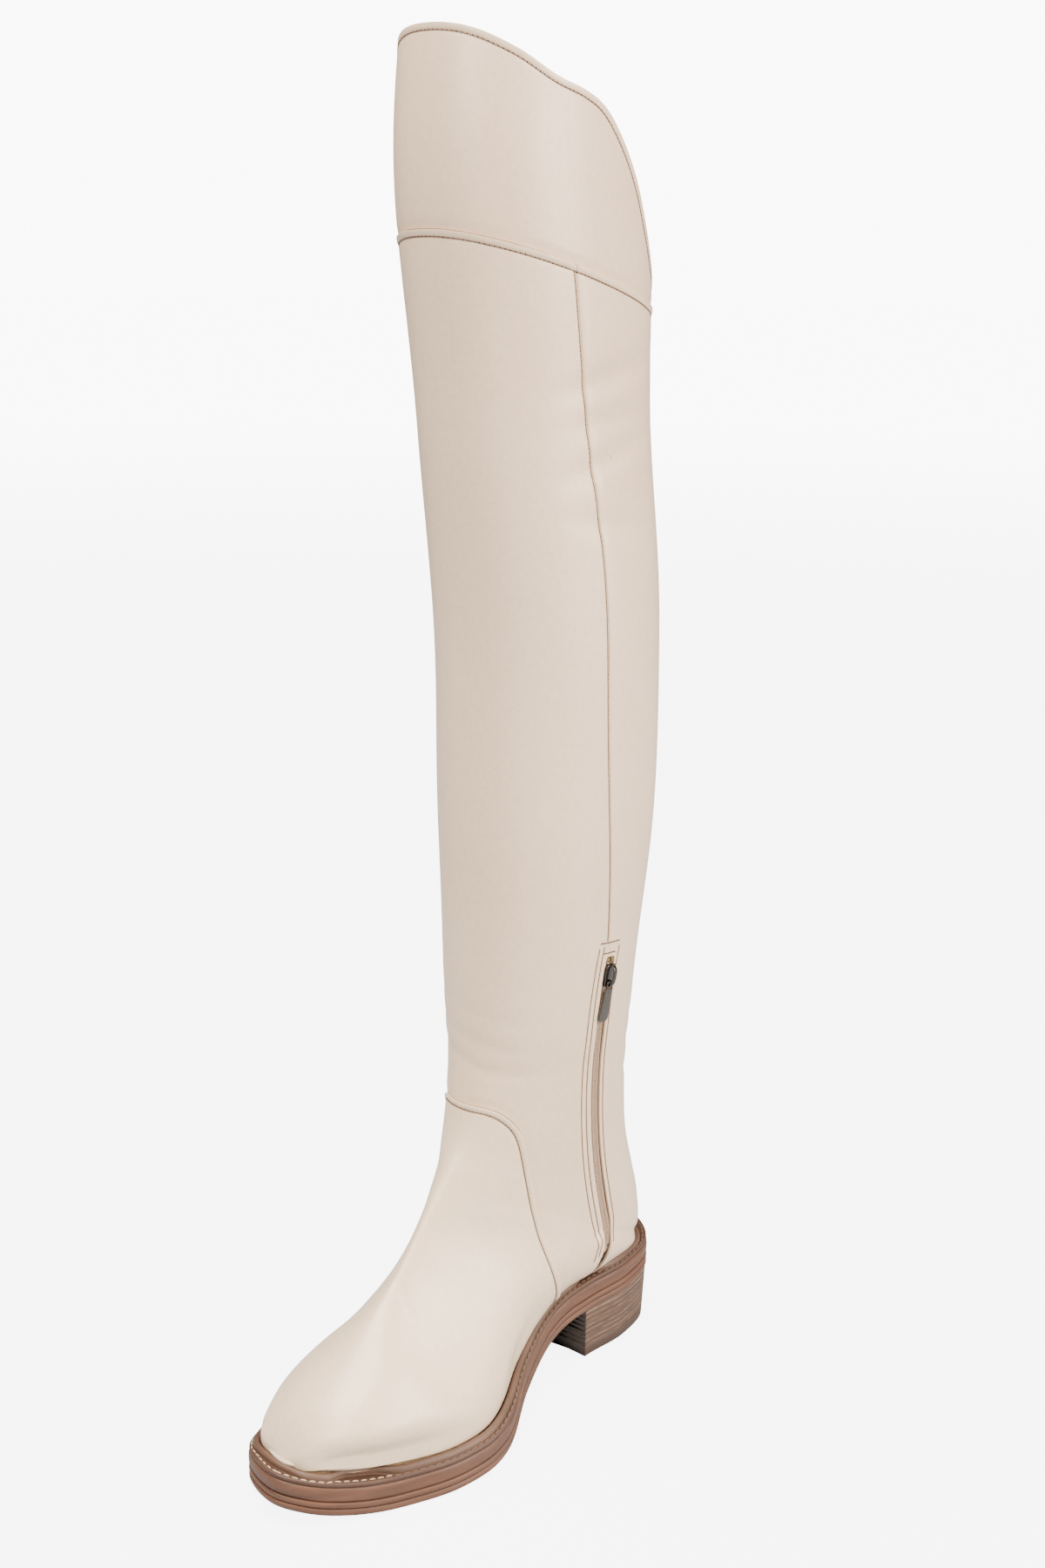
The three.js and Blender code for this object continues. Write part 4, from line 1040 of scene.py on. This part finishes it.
def resample(points, normals, spacing, phase=0.5):
    step = np.linalg.norm(np.diff(points, axis=0), axis=1)
    length = np.concatenate([[0], np.cumsum(step)])
    marks = np.arange(spacing * phase, length[-1], spacing)

    def along(at, values):
        return np.stack([np.interp(at, length, values[:, k]) for k in range(3)], -1)

    place = along(marks, points)
    normal = along(marks, normals)
    tangent = along(np.minimum(marks + 0.4, length[-1]), points) - along(np.maximum(marks - 0.4, 0), points)
    tangent /= np.maximum(np.linalg.norm(tangent, axis=1, keepdims=True), 1e-9)
    return place, tangent, normal


class Stitches:
    """Many short threads in one mesh: each dives into the leather at both ends."""

    SIDES = 6
    RINGS = ((-0.5, 0.25, -0.75), (-0.4, 0.8, -0.15), (-0.18, 1.0, 0.35), (0.18, 1.0, 0.35),
             (0.4, 0.8, -0.15), (0.5, 0.25, -0.75))

    def __init__(self):
        self.points = []
        self.faces = []

    def add(self, place, tangent, normal, length, radius):
        count = len(place)
        if not count:
            return
        normal = normal - (normal * tangent).sum(1, keepdims=True) * tangent
        normal /= np.linalg.norm(normal, axis=1, keepdims=True)
        across = np.cross(tangent, normal)
        wander = rng.normal(0, 0.05, (count, 1))
        tangent = tangent + across * wander
        tangent /= np.linalg.norm(tangent, axis=1, keepdims=True)
        across = np.cross(tangent, normal)
        stretch = length * (1 + rng.normal(0, 0.03, (count, 1)))
        for index in range(count):
            start = self.size()
            self.faces += [tuple(start + k for k in reversed(range(self.SIDES)))]
            self.faces += [tuple(start + (len(self.RINGS) - 1) * self.SIDES + k for k in range(self.SIDES))]
            self.faces += grid_faces(len(self.RINGS), self.SIDES, wrap=True, start=start)
            ring_points = []
            for along, thick, lift in self.RINGS:
                for k in range(self.SIDES):
                    turn = 2 * math.pi * k / self.SIDES
                    ring_points.append(
                        place[index] + tangent[index] * (along * stretch[index])
                        + across[index] * (math.cos(turn) * radius * thick)
                        + normal[index] * (math.sin(turn) * radius * thick * 0.85 + lift * radius))
            self.points.append(np.array(ring_points))

    def size(self):
        return len(self.points) * self.SIDES * len(self.RINGS)

    def build(self, name, material, slot):
        obj = make_object(name, np.concatenate(self.points), self.faces, [material])
        return obj


def sew(field, level, height, keep=None, spacing=2.3, length=1.6, radius=0.44):
    for uv in contour(field, level):
        if keep is not None:
            points = skin_point(uv[:, 0], uv[:, 1])
            mask = keep(points, uv[:, 1])
            if mask.sum() < 4:
                continue
            edges = np.flatnonzero(np.diff(np.concatenate([[0], mask.astype(int), [0]])))
            parts = [uv[a:b] for a, b in zip(edges[::2], edges[1::2]) if b - a > 3]
        else:
            parts = [uv]
        for part in parts:
            points, normals = line_points(part, height)
            upper_thread.add(*resample(points, normals, spacing), length, radius)
            # Dark capsules between the threads: painted shade of the needle holes.
            stitch_hole_painted_shade.add(*resample(points, normals, spacing, 1.0), 0.85, radius * 1.05)


upper_thread = Stitches()
stitch_hole_painted_shade = Stitches()
sew(below_topline, STITCH_INSET, band_height)
sew(lambda p, v: -above_band_seam(p, v), STITCH_INSET, shaft_height)
sew(lambda p, v: -behind_vamp_seam(p, v), STITCH_INSET, vamp_height)


def on_leg_seam(points, v):
    _, distance = zip_coordinates(points)
    clear = (above_band_seam(points, v) < -1.5) & (behind_vamp_seam(points, v) > 2)
    return clear & np.where(v > 0, distance < SLOT_TOP - 9, True)


sew(behind_leg_seam, -1.5, shaft_height, on_leg_seam, spacing=2.2, length=1.5, radius=0.42)


def zip_row(side, reach):
    def field(points, v):
        across, _ = zip_coordinates(points)
        return np.where(v > 0, across * side - SLOT_HALF_WIDTH, -60.0) - reach

    def keep(points, v):
        across, distance = zip_coordinates(points)
        return (v > 0) & (np.abs(across) < 16) & (distance > SLOT_TOP - 8) & (distance < ZIP_SPAN + 17)
    sew(field, 0.0, shaft_height, keep, spacing=2.2, length=1.5, radius=0.4)


zip_row(1, 3.0)
zip_row(1, 6.6)
zip_row(-1, 3.0)


def box_top_row(offset, left, right):
    """The short rows that close the stitched box over the top of the zip."""
    def field(points, v):
        _, distance = zip_coordinates(points)
        return np.where(v > 0, distance, -500.0) - offset

    def keep(points, v):
        across, distance = zip_coordinates(points)
        return (v > 0) & (across > left) & (across < right) & (np.abs(distance - offset) < 3)
    sew(field, 0.0, shaft_height, keep, spacing=2.1, length=1.5, radius=0.4)


box_top_row(SLOT_TOP - 8.0, -SLOT_HALF_WIDTH - 3.0, SLOT_HALF_WIDTH + 6.8)
box_top_row(SLOT_TOP - 2.4, -SLOT_HALF_WIDTH - 3.0, SLOT_HALF_WIDTH + 3.2)
# Thread colour: the thread's own beige, darkened as painted shade.
upper_thread.build("upper_stitching", THREAD, "upper_leather")
# The needle-hole capsules are painted shade.
stitch_hole_painted_shade.build("stitch_hole_painted_shade", STITCH_HOLE_SHADE, "upper_leather")

# ---------------------------------------------------------------- sole, welt and heel



def offset_ring(inset):
    return edge_ring + inward * np.broadcast_to(inset, (RING_COUNT,))[:, None]


FOOT_MARKS = 260


def upper_insets():
    """How far the foot of the upper stands in from the sole's edge, all round the sole."""
    marks = np.linspace(HEEL_SECTION + 0.3, len(SECTIONS) - 1.02, FOOT_MARKS)
    starts, runs = [], []
    for level in (0.8, 0.86, 0.92, 0.96):
        inner = skin_point(marks, np.full(FOOT_MARKS, level))[:, :2]
        outer = skin_point(marks, np.full(FOOT_MARKS, -level))[:, :2]
        loop = np.vstack([inner, outer[::-1]])
        starts.append(loop)
        runs.append(np.roll(loop, -1, axis=0) - loop)
    outline, ahead = np.vstack(starts), np.vstack(runs)
    result = np.full(len(edge_ring), np.nan)
    for i, (start, direction) in enumerate(zip(edge_ring, inward)):
        det = direction[0] * ahead[:, 1] - direction[1] * ahead[:, 0]
        det = np.where(np.abs(det) < 1e-9, 1e-9, det)
        to = outline - start
        reach = (to[:, 0] * ahead[:, 1] - to[:, 1] * ahead[:, 0]) / det
        share = (to[:, 0] * direction[1] - to[:, 1] * direction[0]) / det
        hits = reach[(share >= 0) & (share <= 1) & (reach > 0)]
        if len(hits):
            result[i] = hits.min()
    result = np.where(np.isnan(result), np.nanmedian(result), result)
    result = np.clip(result, 5.6, 11.0)
    for _ in range(12):
        result = (np.roll(result, 1) + 2 * result + np.roll(result, -1)) / 4
    return result


UPPER_INSET = upper_insets()


def ring_body(profile, close=True):
    """Sweeps (inset, height over the ground line) round the sole's edge. A closed body gets a flat filling
    across the sole from its first and last profile points."""
    points = []
    for inset, height in profile:
        ring = offset_ring(inset)
        points.append(np.column_stack([ring, ground_line(ring[:, 1]) + height]))
    faces = grid_faces(len(profile), RING_COUNT, wrap=True)
    if close:
        half = RING_COUNT // 2
        for base, flip in ((0, False), ((len(profile) - 1) * RING_COUNT, True)):
            for i in range(half):
                a, b = i, i + 1
                c, d = (RING_COUNT - i - 1) % RING_COUNT, (RING_COUNT - i) % RING_COUNT
                ring = []
                for k in (a, b, c, d):
                    if k not in ring:
                        ring.append(k)
                if len(ring) > 2:
                    ring = [base + k for k in ring]
                    faces.append(tuple(reversed(ring)) if flip else tuple(ring))
    else:
        last = (len(profile) - 1) * RING_COUNT
        for j in range(RING_COUNT):
            k = (j + 1) % RING_COUNT
            faces.append((last + j, last + k, k, j))
    return np.concatenate(points), faces


def fix_normals(obj):
    bm = bmesh.new()
    bm.from_mesh(obj.data)
    bmesh.ops.recalc_face_normals(bm, faces=bm.faces)
    bm.to_mesh(obj.data)
    bm.free()


WALL_STEPS = 8
PLATE_LIP = 3.0
PLATE_FILL = 16


def wall_profile(bottom, top, bulge, power):
    """Half-round edge between two heights, from the underside round to the upper side."""
    middle = (bottom + top) / 2
    half = (top - bottom) / 2
    profile = [(PLATE_FILL, bottom), (PLATE_LIP, bottom)]
    for k in range(WALL_STEPS + 1):
        t = -1 + 2 * k / WALL_STEPS
        profile.append((bulge * abs(t) ** power, middle + half * t))
    profile += [(PLATE_LIP, top), (PLATE_FILL, top)]
    return profile


def plate_piece(name, node, bottom, top, material, bulge=0.7, power=3.0):
    points, faces = ring_body(wall_profile(bottom, top, bulge, power))
    piece = make_object(name, points, faces, [material])
    fix_normals(piece)
    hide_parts(node)
    return piece


plate_piece("outsole_plate", "outsole", 0.0, OUTSOLE_TOP - 0.4, SOLE, 0.8, 2.6)
plate_piece("slip_sole_plate", "slip_sole", OUTSOLE_TOP, SLIP_SOLE_TOP - 0.4, SOLE, 0.6, 2.8)
plate_piece("midsole_plate", "midsole", SLIP_SOLE_TOP, WALL_TOP, SOLE, 0.9, 4.0)

WELT_BASE = WALL_TOP + 0.1
LEDGE_PROFILE = [(12.5, 0), (1.2, 0), (0.7, 0.25), (0.45, 1.0), (0.5, 1.8), (0.8, 2.25), (1.3, 2.4)]
BEAD_PROFILE = [(-4.3, 2.4), (-4.0, 2.1), (-3.7, 2.0), (-3.5, 2.4), (-3.6, 3.2), (-3.4, 4.1), (-2.9, 5.0),
                (-2.1, 5.5), (-1.2, 5.5), (-0.5, 5.1), (0.0, 4.4), (0.4, 3.0), (2.2, 2.4)]
welt_profile = [(inset, height + WELT_BASE) for inset, height in LEDGE_PROFILE]
welt_profile += [(np.maximum(UPPER_INSET + inset, 1.5), height + WELT_BASE) for inset, height in BEAD_PROFILE]
points, faces = ring_body(welt_profile, close=False)
welt = make_object("welt_strip", points, faces, [WELT, BEAD])
for polygon in welt.data.polygons:
    row = polygon.index // RING_COUNT
    polygon.material_index = 1 if len(LEDGE_PROFILE) + 2 <= row < len(welt_profile) - 2 else 0
fix_normals(welt)
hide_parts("welt")

WELT_LEDGE = 2.4
WELT_STITCH_SPACING = 4.2
# From here back along the sides, the welt thread takes its darker copy, which is painted shade.
SHADED_THREAD_FROM_Y = -92.0
thread_ring = offset_ring(np.clip((UPPER_INSET - 4.3) * 0.62 + 0.5, 1.6, 2.6))
thread_ring = np.vstack([thread_ring, thread_ring[:1]])
thread_height = ground_line(thread_ring[:, 1]) + WELT_BASE + WELT_LEDGE
thread_line = np.column_stack([thread_ring, thread_height])
upwards = np.tile([0.0, 0.0, 1.0], (len(thread_line), 1))
place, run, lift = resample(thread_line, upwards, WELT_STITCH_SPACING)
# One welt thread all round: its pale colour at the toe, and a darker copy, painted shade, along the sides.
for name, material, mask in (
    ("welt_stitching_toe", WELT_THREAD, place[:, 1] < SHADED_THREAD_FROM_Y),
    ("welt_side_stitching_painted_shade", SHADED_WELT_THREAD, place[:, 1] >= SHADED_THREAD_FROM_Y),
):
    welt_thread = Stitches()
    welt_thread.add(place[mask], run[mask], lift[mask], 3.3, 0.36)
    welt_thread.build(name, material, "welt_brown")

HEEL_INSET = 0.6


def heel_loop(corner=2.2):
    """The heel's outline seen from above: round the back, then across the slightly hollow breast."""
    ring = offset_ring(HEEL_INSET)
    front = BREAST_Y
    back = ring[ring[:, 1] > front + corner]
    order = np.argsort(np.arctan2(back[:, 0], -(back[:, 1] - 100)))
    back = back[order]
    left, right = back[0], back[-1]
    if left[0] > right[0]:
        back = back[::-1]
        left, right = back[0], back[-1]
    turn = np.linspace(0, math.pi / 2, 5)
    right_corner = [[right[0] - corner * (1 - math.cos(t)), front + corner * (1 - math.sin(t))] for t in turn]
    left_corner = [[left[0] + corner * (1 - math.sin(t)), front + corner * (1 - math.cos(t))] for t in turn]
    across = np.linspace(right[0] - corner, left[0] + corner, 14)[1:-1]
    middle = (left[0] + right[0]) / 2
    width = (right[0] - left[0]) / 2
    breast = [[x, front + 1.6 * (1 - ((x - middle) / width) ** 2)] for x in across]
    return np.vstack([back, right_corner, breast, left_corner])


def heel_piece(name, node, bottom, top, material, soft=0.25):
    """A lift between two heights; top may follow the sole's underside."""
    rings = []
    for share, inset in ((0, soft), (soft, 0), (-soft, 0), (1, soft)):
        loop = heel_loop()
        low_side = np.full(len(loop), float(bottom))
        high_side = ground_line(loop[:, 1]) if top is None else np.full(len(loop), float(top))
        if share == 0:
            z = low_side
        elif share == 1:
            z = high_side
        else:
            z = (low_side + soft) if share > 0 else (high_side - soft)
        taper = HEEL_TAPER * (1 - z / HEEL_RISE) + inset
        centre = loop.mean(axis=0)
        away = loop - centre
        radius = np.linalg.norm(away, axis=1, keepdims=True)
        loop = centre + away * (1 - taper[:, None] / radius)
        rings.append(np.column_stack([loop, z]))
    count = len(rings[0])
    points = np.concatenate(rings)
    faces = grid_faces(len(rings), count, wrap=True)
    faces.append(tuple(reversed(range(count))))
    faces.append(tuple(3 * count + k for k in range(count)))
    piece = make_object(name, points, faces, [material, BREAST])
    for polygon in piece.data.polygons:
        middle = polygon.center
        normal = polygon.normal
        if abs(normal.y) > 0.8 and middle.y * 1000 - SHIFT[1] < BREAST_Y + 8:
            polygon.material_index = 1
    fix_normals(piece)
    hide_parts(node)
    return piece


for index in range(LIFT_COUNT):
    bottom = TOP_PIECE_HEIGHT + 0.12 + index * LIFT_PITCH
    top = None if index == LIFT_COUNT - 1 else bottom + LIFT_PITCH - 0.1
    heel_piece(f"stack_lift_{index + 1}", f"heel_lift_{index + 1}", bottom, top, STACK, 0.16)
heel_piece("heel_tread_piece", "heel_top_piece", 0.0, TOP_PIECE_HEIGHT, TOP_PIECE, 0.7)

sock_edge = ((14, 0), (8.2, 0), (7.6, 0.6), (7.6, 1.4), (8.2, 2), (14, 2))
sock_profile = [(inset, SEAT + height) for inset, height in sock_edge]
points, faces = ring_body(sock_profile)
sock = make_object("sock", points, faces, [LINING])
fix_normals(sock)
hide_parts("sock_liner")

# ---------------------------------------------------------------- zip

TAPE_END = ZIP_SPAN + 19.0
CHAIN_END = ZIP_SPAN + 15
THREAD_MARKS = 160
for name, node, inner, outer in (
    ("zip_tape_toe_side", "zip_tape_front", 0.6, TAPE_REACH),
    ("zip_tape_heel_side", "zip_tape_rear", -TAPE_REACH, -0.6),
):
    rows, columns = 90, 8
    points = strip_points(inner, outer, -2.0, SLOT_TOP - 1.2, TAPE_END, rows, columns, sag=0.9)
    tape = make_object(name, points.reshape(-1, 3), grid_faces(rows, columns), [TAPE])
    fix_normals(tape)
    add_thickness(tape, 0.45, 0.12)
    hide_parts(node)


def coil(name, node, side, start, stop):
    """Nylon loops: each is a short bent thread that runs from the tape to the middle of the zip."""
    pitch = 1.3
    path = np.array([(2.75, 0.0, -2.2), (2.7, 0.0, -1.1), (2.1, 0.02, -0.7), (1.2, 0.1, -0.6),
                     (0.35, 0.18, -0.75), (0.12, 0.2, -1.6), (0.5, 0.3, -2.2)])
    sides = 6
    all_points, all_faces = [], []
    offset = 0.0 if side > 0 else pitch / 2
    for step, distance in enumerate(np.arange(start + offset, stop, pitch)):
        centre = zip_place(path[:, 0] * side, distance + path[:, 1] * pitch * 2, path[:, 2])
        _, _, along, _ = zip_frame(distance)
        run = np.gradient(centre, axis=0)
        run /= np.linalg.norm(run, axis=1, keepdims=True)
        first = np.cross(run, along)
        first /= np.linalg.norm(first, axis=1, keepdims=True)
        second = np.cross(run, first)
        thick = np.array([0.28, 0.34, 0.36, 0.38, 0.42, 0.36, 0.24])
        base = step * len(path) * sides
        for k in range(len(path)):
            for s in range(sides):
                turn = 2 * math.pi * s / sides
                round_by = first[k] * math.cos(turn) + second[k] * math.sin(turn)
                all_points.append(centre[k] + round_by * thick[k])
        all_faces += grid_faces(len(path), sides, wrap=True, start=base)
        all_faces.append(tuple(base + s for s in reversed(range(sides))))
        all_faces.append(tuple(base + (len(path) - 1) * sides + s for s in range(sides)))
    obj = make_object(name, np.array(all_points), all_faces, [COIL])
    fix_normals(obj)
    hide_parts(node)


coil("zip_coil_toe_side", "zip_chain_front", 1, -1.4, CHAIN_END)
coil("zip_coil_heel_side", "zip_chain_rear", -1, -1.4, CHAIN_END)

zip_thread = Stitches()
for side in (-1, 1):
    distance = np.linspace(-1.0, CHAIN_END, THREAD_MARKS)
    points = zip_place(np.full(THREAD_MARKS, 1.75 * side), distance, np.full(THREAD_MARKS, -0.45))
    _, _, _, out = zip_frame(distance)
    zip_thread.add(*resample(points, out, 1.3, 0.5), 1.15, 0.2)
zip_thread.build("zip_coil_thread", TAPE, "zip_tape")


def zip_matrix(distance):
    """Matrix that carries (across, along, out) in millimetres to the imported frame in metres."""
    origin, across, along, out = (np.asarray(a) for a in zip_frame(distance))
    origin = to_metres(origin)
    rotation = np.column_stack([across, along, out]) * 0.001
    matrix = Matrix.Identity(4)
    for r in range(3):
        for c in range(3):
            matrix[r][c] = rotation[r, c]
        matrix[r][3] = origin[r]
    return matrix


def outline_body(bm, outline, bottom, top):
    """Adds a flat plate with this outline in (across, along)."""
    low_ring = [bm.verts.new((a, t, bottom)) for a, t in outline]
    high_ring = [bm.verts.new((a, t, top)) for a, t in outline]
    bm.faces.new(list(reversed(low_ring)))
    bm.faces.new(high_ring)
    count = len(outline)
    for k in range(count):
        bm.faces.new([low_ring[k], low_ring[(k + 1) % count], high_ring[(k + 1) % count], high_ring[k]])


def tube(bm, path, half_width, half_height, sides=8):
    """Adds a rounded bar along a path of (across, along, out) points."""
    path = [Vector(p) for p in path]
    rings = []
    for k, p in enumerate(path):
        run = (path[min(k + 1, len(path) - 1)] - path[max(k - 1, 0)]).normalized()
        side = Vector((1, 0, 0))
        if abs(run.x) > 0.9:
            side = Vector((0, 1, 0))
        up = run.cross(side).normalized()
        side = up.cross(run).normalized()
        rings.append([
            bm.verts.new(p + side * (math.copysign(abs(math.cos(t)) ** 0.6, math.cos(t)) * half_width)
                         + up * (math.copysign(abs(math.sin(t)) ** 0.6, math.sin(t)) * half_height))
            for t in (2 * math.pi * s / sides for s in range(sides))
        ])
    for a, b in zip(rings, rings[1:]):
        for s in range(sides):
            t = (s + 1) % sides
            bm.faces.new([a[s], a[t], b[t], b[s]])
    bm.faces.new(list(reversed(rings[0])))
    bm.faces.new(rings[-1])


def finish_metal(bm, name, materials, body, node, at, round_mm, segments=3):
    bmesh.ops.recalc_face_normals(bm, faces=bm.faces)
    mesh = bpy.data.meshes.new(name)
    bm.to_mesh(mesh)
    bm.free()
    mesh.transform(zip_matrix(at))
    obj = bpy.data.objects.new(name, mesh)
    bpy.context.scene.collection.objects.link(obj)
    for material in materials:
        mesh.materials.append(material)
    mesh.polygons.foreach_set("use_smooth", [True] * len(mesh.polygons))
    rounding(obj, round_mm, segments, 35)
    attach(obj, body)
    if node:
        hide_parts(node)
    return obj


def slider_outline(widen):
    half = [(2.0, -6.0), (2.75, -5.5), (3.3, -4.6), (3.5, -3.4), (3.5, -0.6), (3.4, 1.2), (3.15, 3.6),
            (2.95, 5.4), (2.5, 6.0)]
    return [(-a * widen, t) for a, t in half] + [(a * widen, t) for a, t in reversed(half)]


bm = bmesh.new()
outline_body(bm, slider_outline(0.93), -0.65, 0.5)
outline_body(bm, slider_outline(1.1), 0.42, 1.1)
outline_body(bm, slider_outline(1.0), -4.15, -3.3)
outline_body(bm, [(-0.2, -5.6), (-0.2, -2.6), (0.2, -2.6), (0.2, -5.6)], -3.4, -0.6)
for side in (-1, 1):
    edge = sorted((side * 3.05, side * 3.5))
    outline_body(bm, [(edge[0], -4.2), (edge[0], 0), (edge[1], 0), (edge[1], -4.2)], -1.45, -0.6)
    outline_body(bm, [(edge[0], -4.2), (edge[0], 0), (edge[1], 0), (edge[1], -4.2)], -3.35, -2.65)
finish_metal(bm, "slider_body", [GUNMETAL], "zip_slider", "zip_slider", SLIDER_AT, 0.22)

bm = bmesh.new()
arch = [(0, -5.2, 0.6), (0, -5.4, 1.4), (0, -5.2, 2.3), (0, -4.3, 3.2), (0, -2.7, 3.75), (0, 0, 3.85),
        (0, 2.7, 3.75), (0, 4.3, 3.2), (0, 5.2, 2.3), (0, 5.4, 1.4), (0, 5.2, 0.6)]
tube(bm, arch, 1.25, 0.5, 12)
finish_metal(bm, "slider_bridge", [GUNMETAL], "zip_slider", None, SLIDER_AT, 0.1, 2)

PIVOT_ALONG, PIVOT_OUT, TAB_LENGTH, TAB_HALF = 3.1, 1.75, 22.0, 0.42
tab_top = PIVOT_ALONG + 4.0
tab_end = PIVOT_ALONG + TAB_LENGTH
bm = bmesh.new()
tab = [(2.5, tab_top), (2.75, tab_top + 3), (3.75, tab_end - 3.4), (3.85, tab_end - 1.6),
       (3.3, tab_end - 0.5), (2.3, tab_end)]
tab_outline = [(-a, t) for a, t in tab] + [(a, t) for a, t in reversed(tab)]
outline_body(bm, tab_outline, PIVOT_OUT - TAB_HALF, PIVOT_OUT + TAB_HALF)
finish_metal(bm, "puller_tab", [PULLER], "zip_puller", "zip_puller", SLIDER_AT, 0.25)

bm = bmesh.new()
loop_half = [(1.75, tab_top + 0.9), (1.9, tab_top - 0.8), (1.9, PIVOT_ALONG + 1.2), (1.6, PIVOT_ALONG + 0.2),
             (1.0, PIVOT_ALONG)]
loop_path = [(-a, t, PIVOT_OUT) for a, t in loop_half] + [(a, t, PIVOT_OUT) for a, t in reversed(loop_half)]
tube(bm, loop_path, 0.45, 0.45, 8)
finish_metal(bm, "puller_ring", [GUNMETAL], "zip_puller", None, SLIDER_AT, 0.05, 1)

for name, node, inner, outer, start, stop in (
    ("top_stop_toe_side", "zip_top_stop_front", 0.5, 3.0, -4.2, -1.75),
    ("top_stop_heel_side", "zip_top_stop_rear", -3.0, -0.5, -4.2, -1.75),
    ("bottom_stop", "zip_bottom_stop", -2.7, 2.7, -1.2, 1.2),
):
    at = ZIP_SPAN - 3.4 if node == "zip_bottom_stop" else 0.0
    bm = bmesh.new()
    top = -1.1 if node == "zip_bottom_stop" else -0.35
    outline_body(bm, [(inner, start), (inner, stop), (outer, stop), (outer, start)], -3.0, top)
    finish_metal(bm, name, [BRASS], "boot", node, at, 0.35)

# ---------------------------------------------------------------- pieces carried over from the CAD part

for name, material in (
    ("insole_board", BOARD), ("cork_filler", CORK), ("shank", STEEL), ("shaft_interlining", BOARD),
    ("heel_counter", BOARD), ("heel_nail_1", STEEL), ("heel_nail_2", STEEL),
    ("heel_nail_3", STEEL), ("heel_nail_4", STEEL), ("heel_screw", STEEL),
):
    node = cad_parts[name]
    node.data.materials.clear()
    node.data.materials.append(material)

# ---------------------------------------------------------------- floor, lights and camera


def area_light(name, energy, size, place, target, colour=(1, 1, 1)):
    data = bpy.data.lights.new(name, "AREA")
    data.shape = "RECTANGLE"
    data.size, data.size_y = size
    data.energy = energy
    data.color = colour
    light = bpy.data.objects.new(name, data)
    bpy.context.scene.collection.objects.link(light)
    light.location = place
    light.rotation_euler = (Vector(target) - Vector(place)).to_track_quat("-Z", "Y").to_euler()
    return light


floor_mesh = bpy.data.meshes.new("floor")
reach = 40.0
floor_corners = [(x * reach, y * reach, 0) for x, y in ((-1, -1), (1, -1), (1, 1), (-1, 1))]
floor_mesh.from_pydata(floor_corners, [], [(0, 1, 2, 3)])
floor = bpy.data.objects.new("floor", floor_mesh)
bpy.context.scene.collection.objects.link(floor)
floor.location.z = -0.0004
floor_recipe = Recipe("pale_floor", 0.7)
floor_recipe.shader.inputs["Base Color"].default_value = (0.40, 0.43, 0.47, 1)
floor_recipe.shader.inputs["Emission Color"].default_value = (1, 1, 1, 1)
GLOW_NEAR, GLOW_FAR = 6.2, 9.8
floor_rays = floor_recipe.nodes.new("ShaderNodeLightPath")
floor_place = floor_recipe.nodes.new("ShaderNodeTexCoord")
floor_distance = floor_recipe.nodes.new("ShaderNodeVectorMath")
floor_distance.operation = "LENGTH"
floor_recipe.links.new(floor_place.outputs["Object"], floor_distance.inputs[0])
floor_level = floor_recipe.nodes.new("ShaderNodeMapRange")
floor_level.interpolation_type = "SMOOTHSTEP"
floor_level.inputs["From Min"].default_value = 0.2
floor_level.inputs["From Max"].default_value = 7.0
floor_level.inputs["To Min"].default_value = GLOW_NEAR
floor_level.inputs["To Max"].default_value = GLOW_FAR
floor_recipe.links.new(floor_distance.outputs["Value"], floor_level.inputs["Value"])
floor_glow = floor_recipe.math("MULTIPLY", floor_rays.outputs["Is Camera Ray"], floor_level.outputs["Result"])
floor_recipe.links.new(floor_glow, floor_recipe.shader.inputs["Emission Strength"])
floor_mesh.materials.append(floor_recipe.material)

world = bpy.data.worlds.new("studio")
world.use_nodes = True
WORLD_LIGHT = 0.16
WORLD_SEEN = 10.0
background = world.node_tree.nodes["Background"]
background.inputs["Color"].default_value = (1.0, 1.0, 1.0, 1)
world_rays = world.node_tree.nodes.new("ShaderNodeLightPath")
world_level = world.node_tree.nodes.new("ShaderNodeMapRange")
world_level.inputs["To Min"].default_value = WORLD_LIGHT
world_level.inputs["To Max"].default_value = WORLD_SEEN
world.node_tree.links.new(world_rays.outputs["Is Camera Ray"], world_level.inputs["Value"])
world.node_tree.links.new(world_level.outputs["Result"], background.inputs["Strength"])
bpy.context.scene.world = world

WARM = (1.0, 0.92, 0.82)
area_light("key", 92, (1.0, 1.8), (1.7, 0.6, 1.1), (0, 0, 0.35), WARM)
area_light("front", 48, (1.2, 1.2), (0.9, -1.9, 1.5), (0, 0, 0.15), WARM)
area_light("top", 150, (1.6, 1.6), (-0.1, -0.5, 2.3), (0, 0, 0), WARM)

CAMERA_AT = Vector((0.5780, -0.6256, 0.566))
TURN = math.radians(42.9 - 1.84)
PITCH = math.radians(15.4)
ROLL = math.radians(0.68)
forward = Vector((-math.sin(TURN) * math.cos(PITCH), math.cos(TURN) * math.cos(PITCH), -math.sin(PITCH)))
right = forward.cross(Vector((0, 0, 1))).normalized()
upward = right.cross(forward)
rolled_right = right * math.cos(ROLL) + upward * math.sin(ROLL)
rolled_up = upward * math.cos(ROLL) - right * math.sin(ROLL)
camera_data = bpy.data.cameras.new("camera")
camera_data.sensor_width = 36
camera_data.lens = 42.44
camera_data.clip_start = 0.01
camera = bpy.data.objects.new("camera", camera_data)
bpy.context.scene.collection.objects.link(camera)
camera.matrix_world = Matrix((
    (rolled_right.x, rolled_up.x, -forward.x, CAMERA_AT.x),
    (rolled_right.y, rolled_up.y, -forward.y, CAMERA_AT.y),
    (rolled_right.z, rolled_up.z, -forward.z, CAMERA_AT.z),
    (0, 0, 0, 1),
))
bpy.context.scene.camera = camera
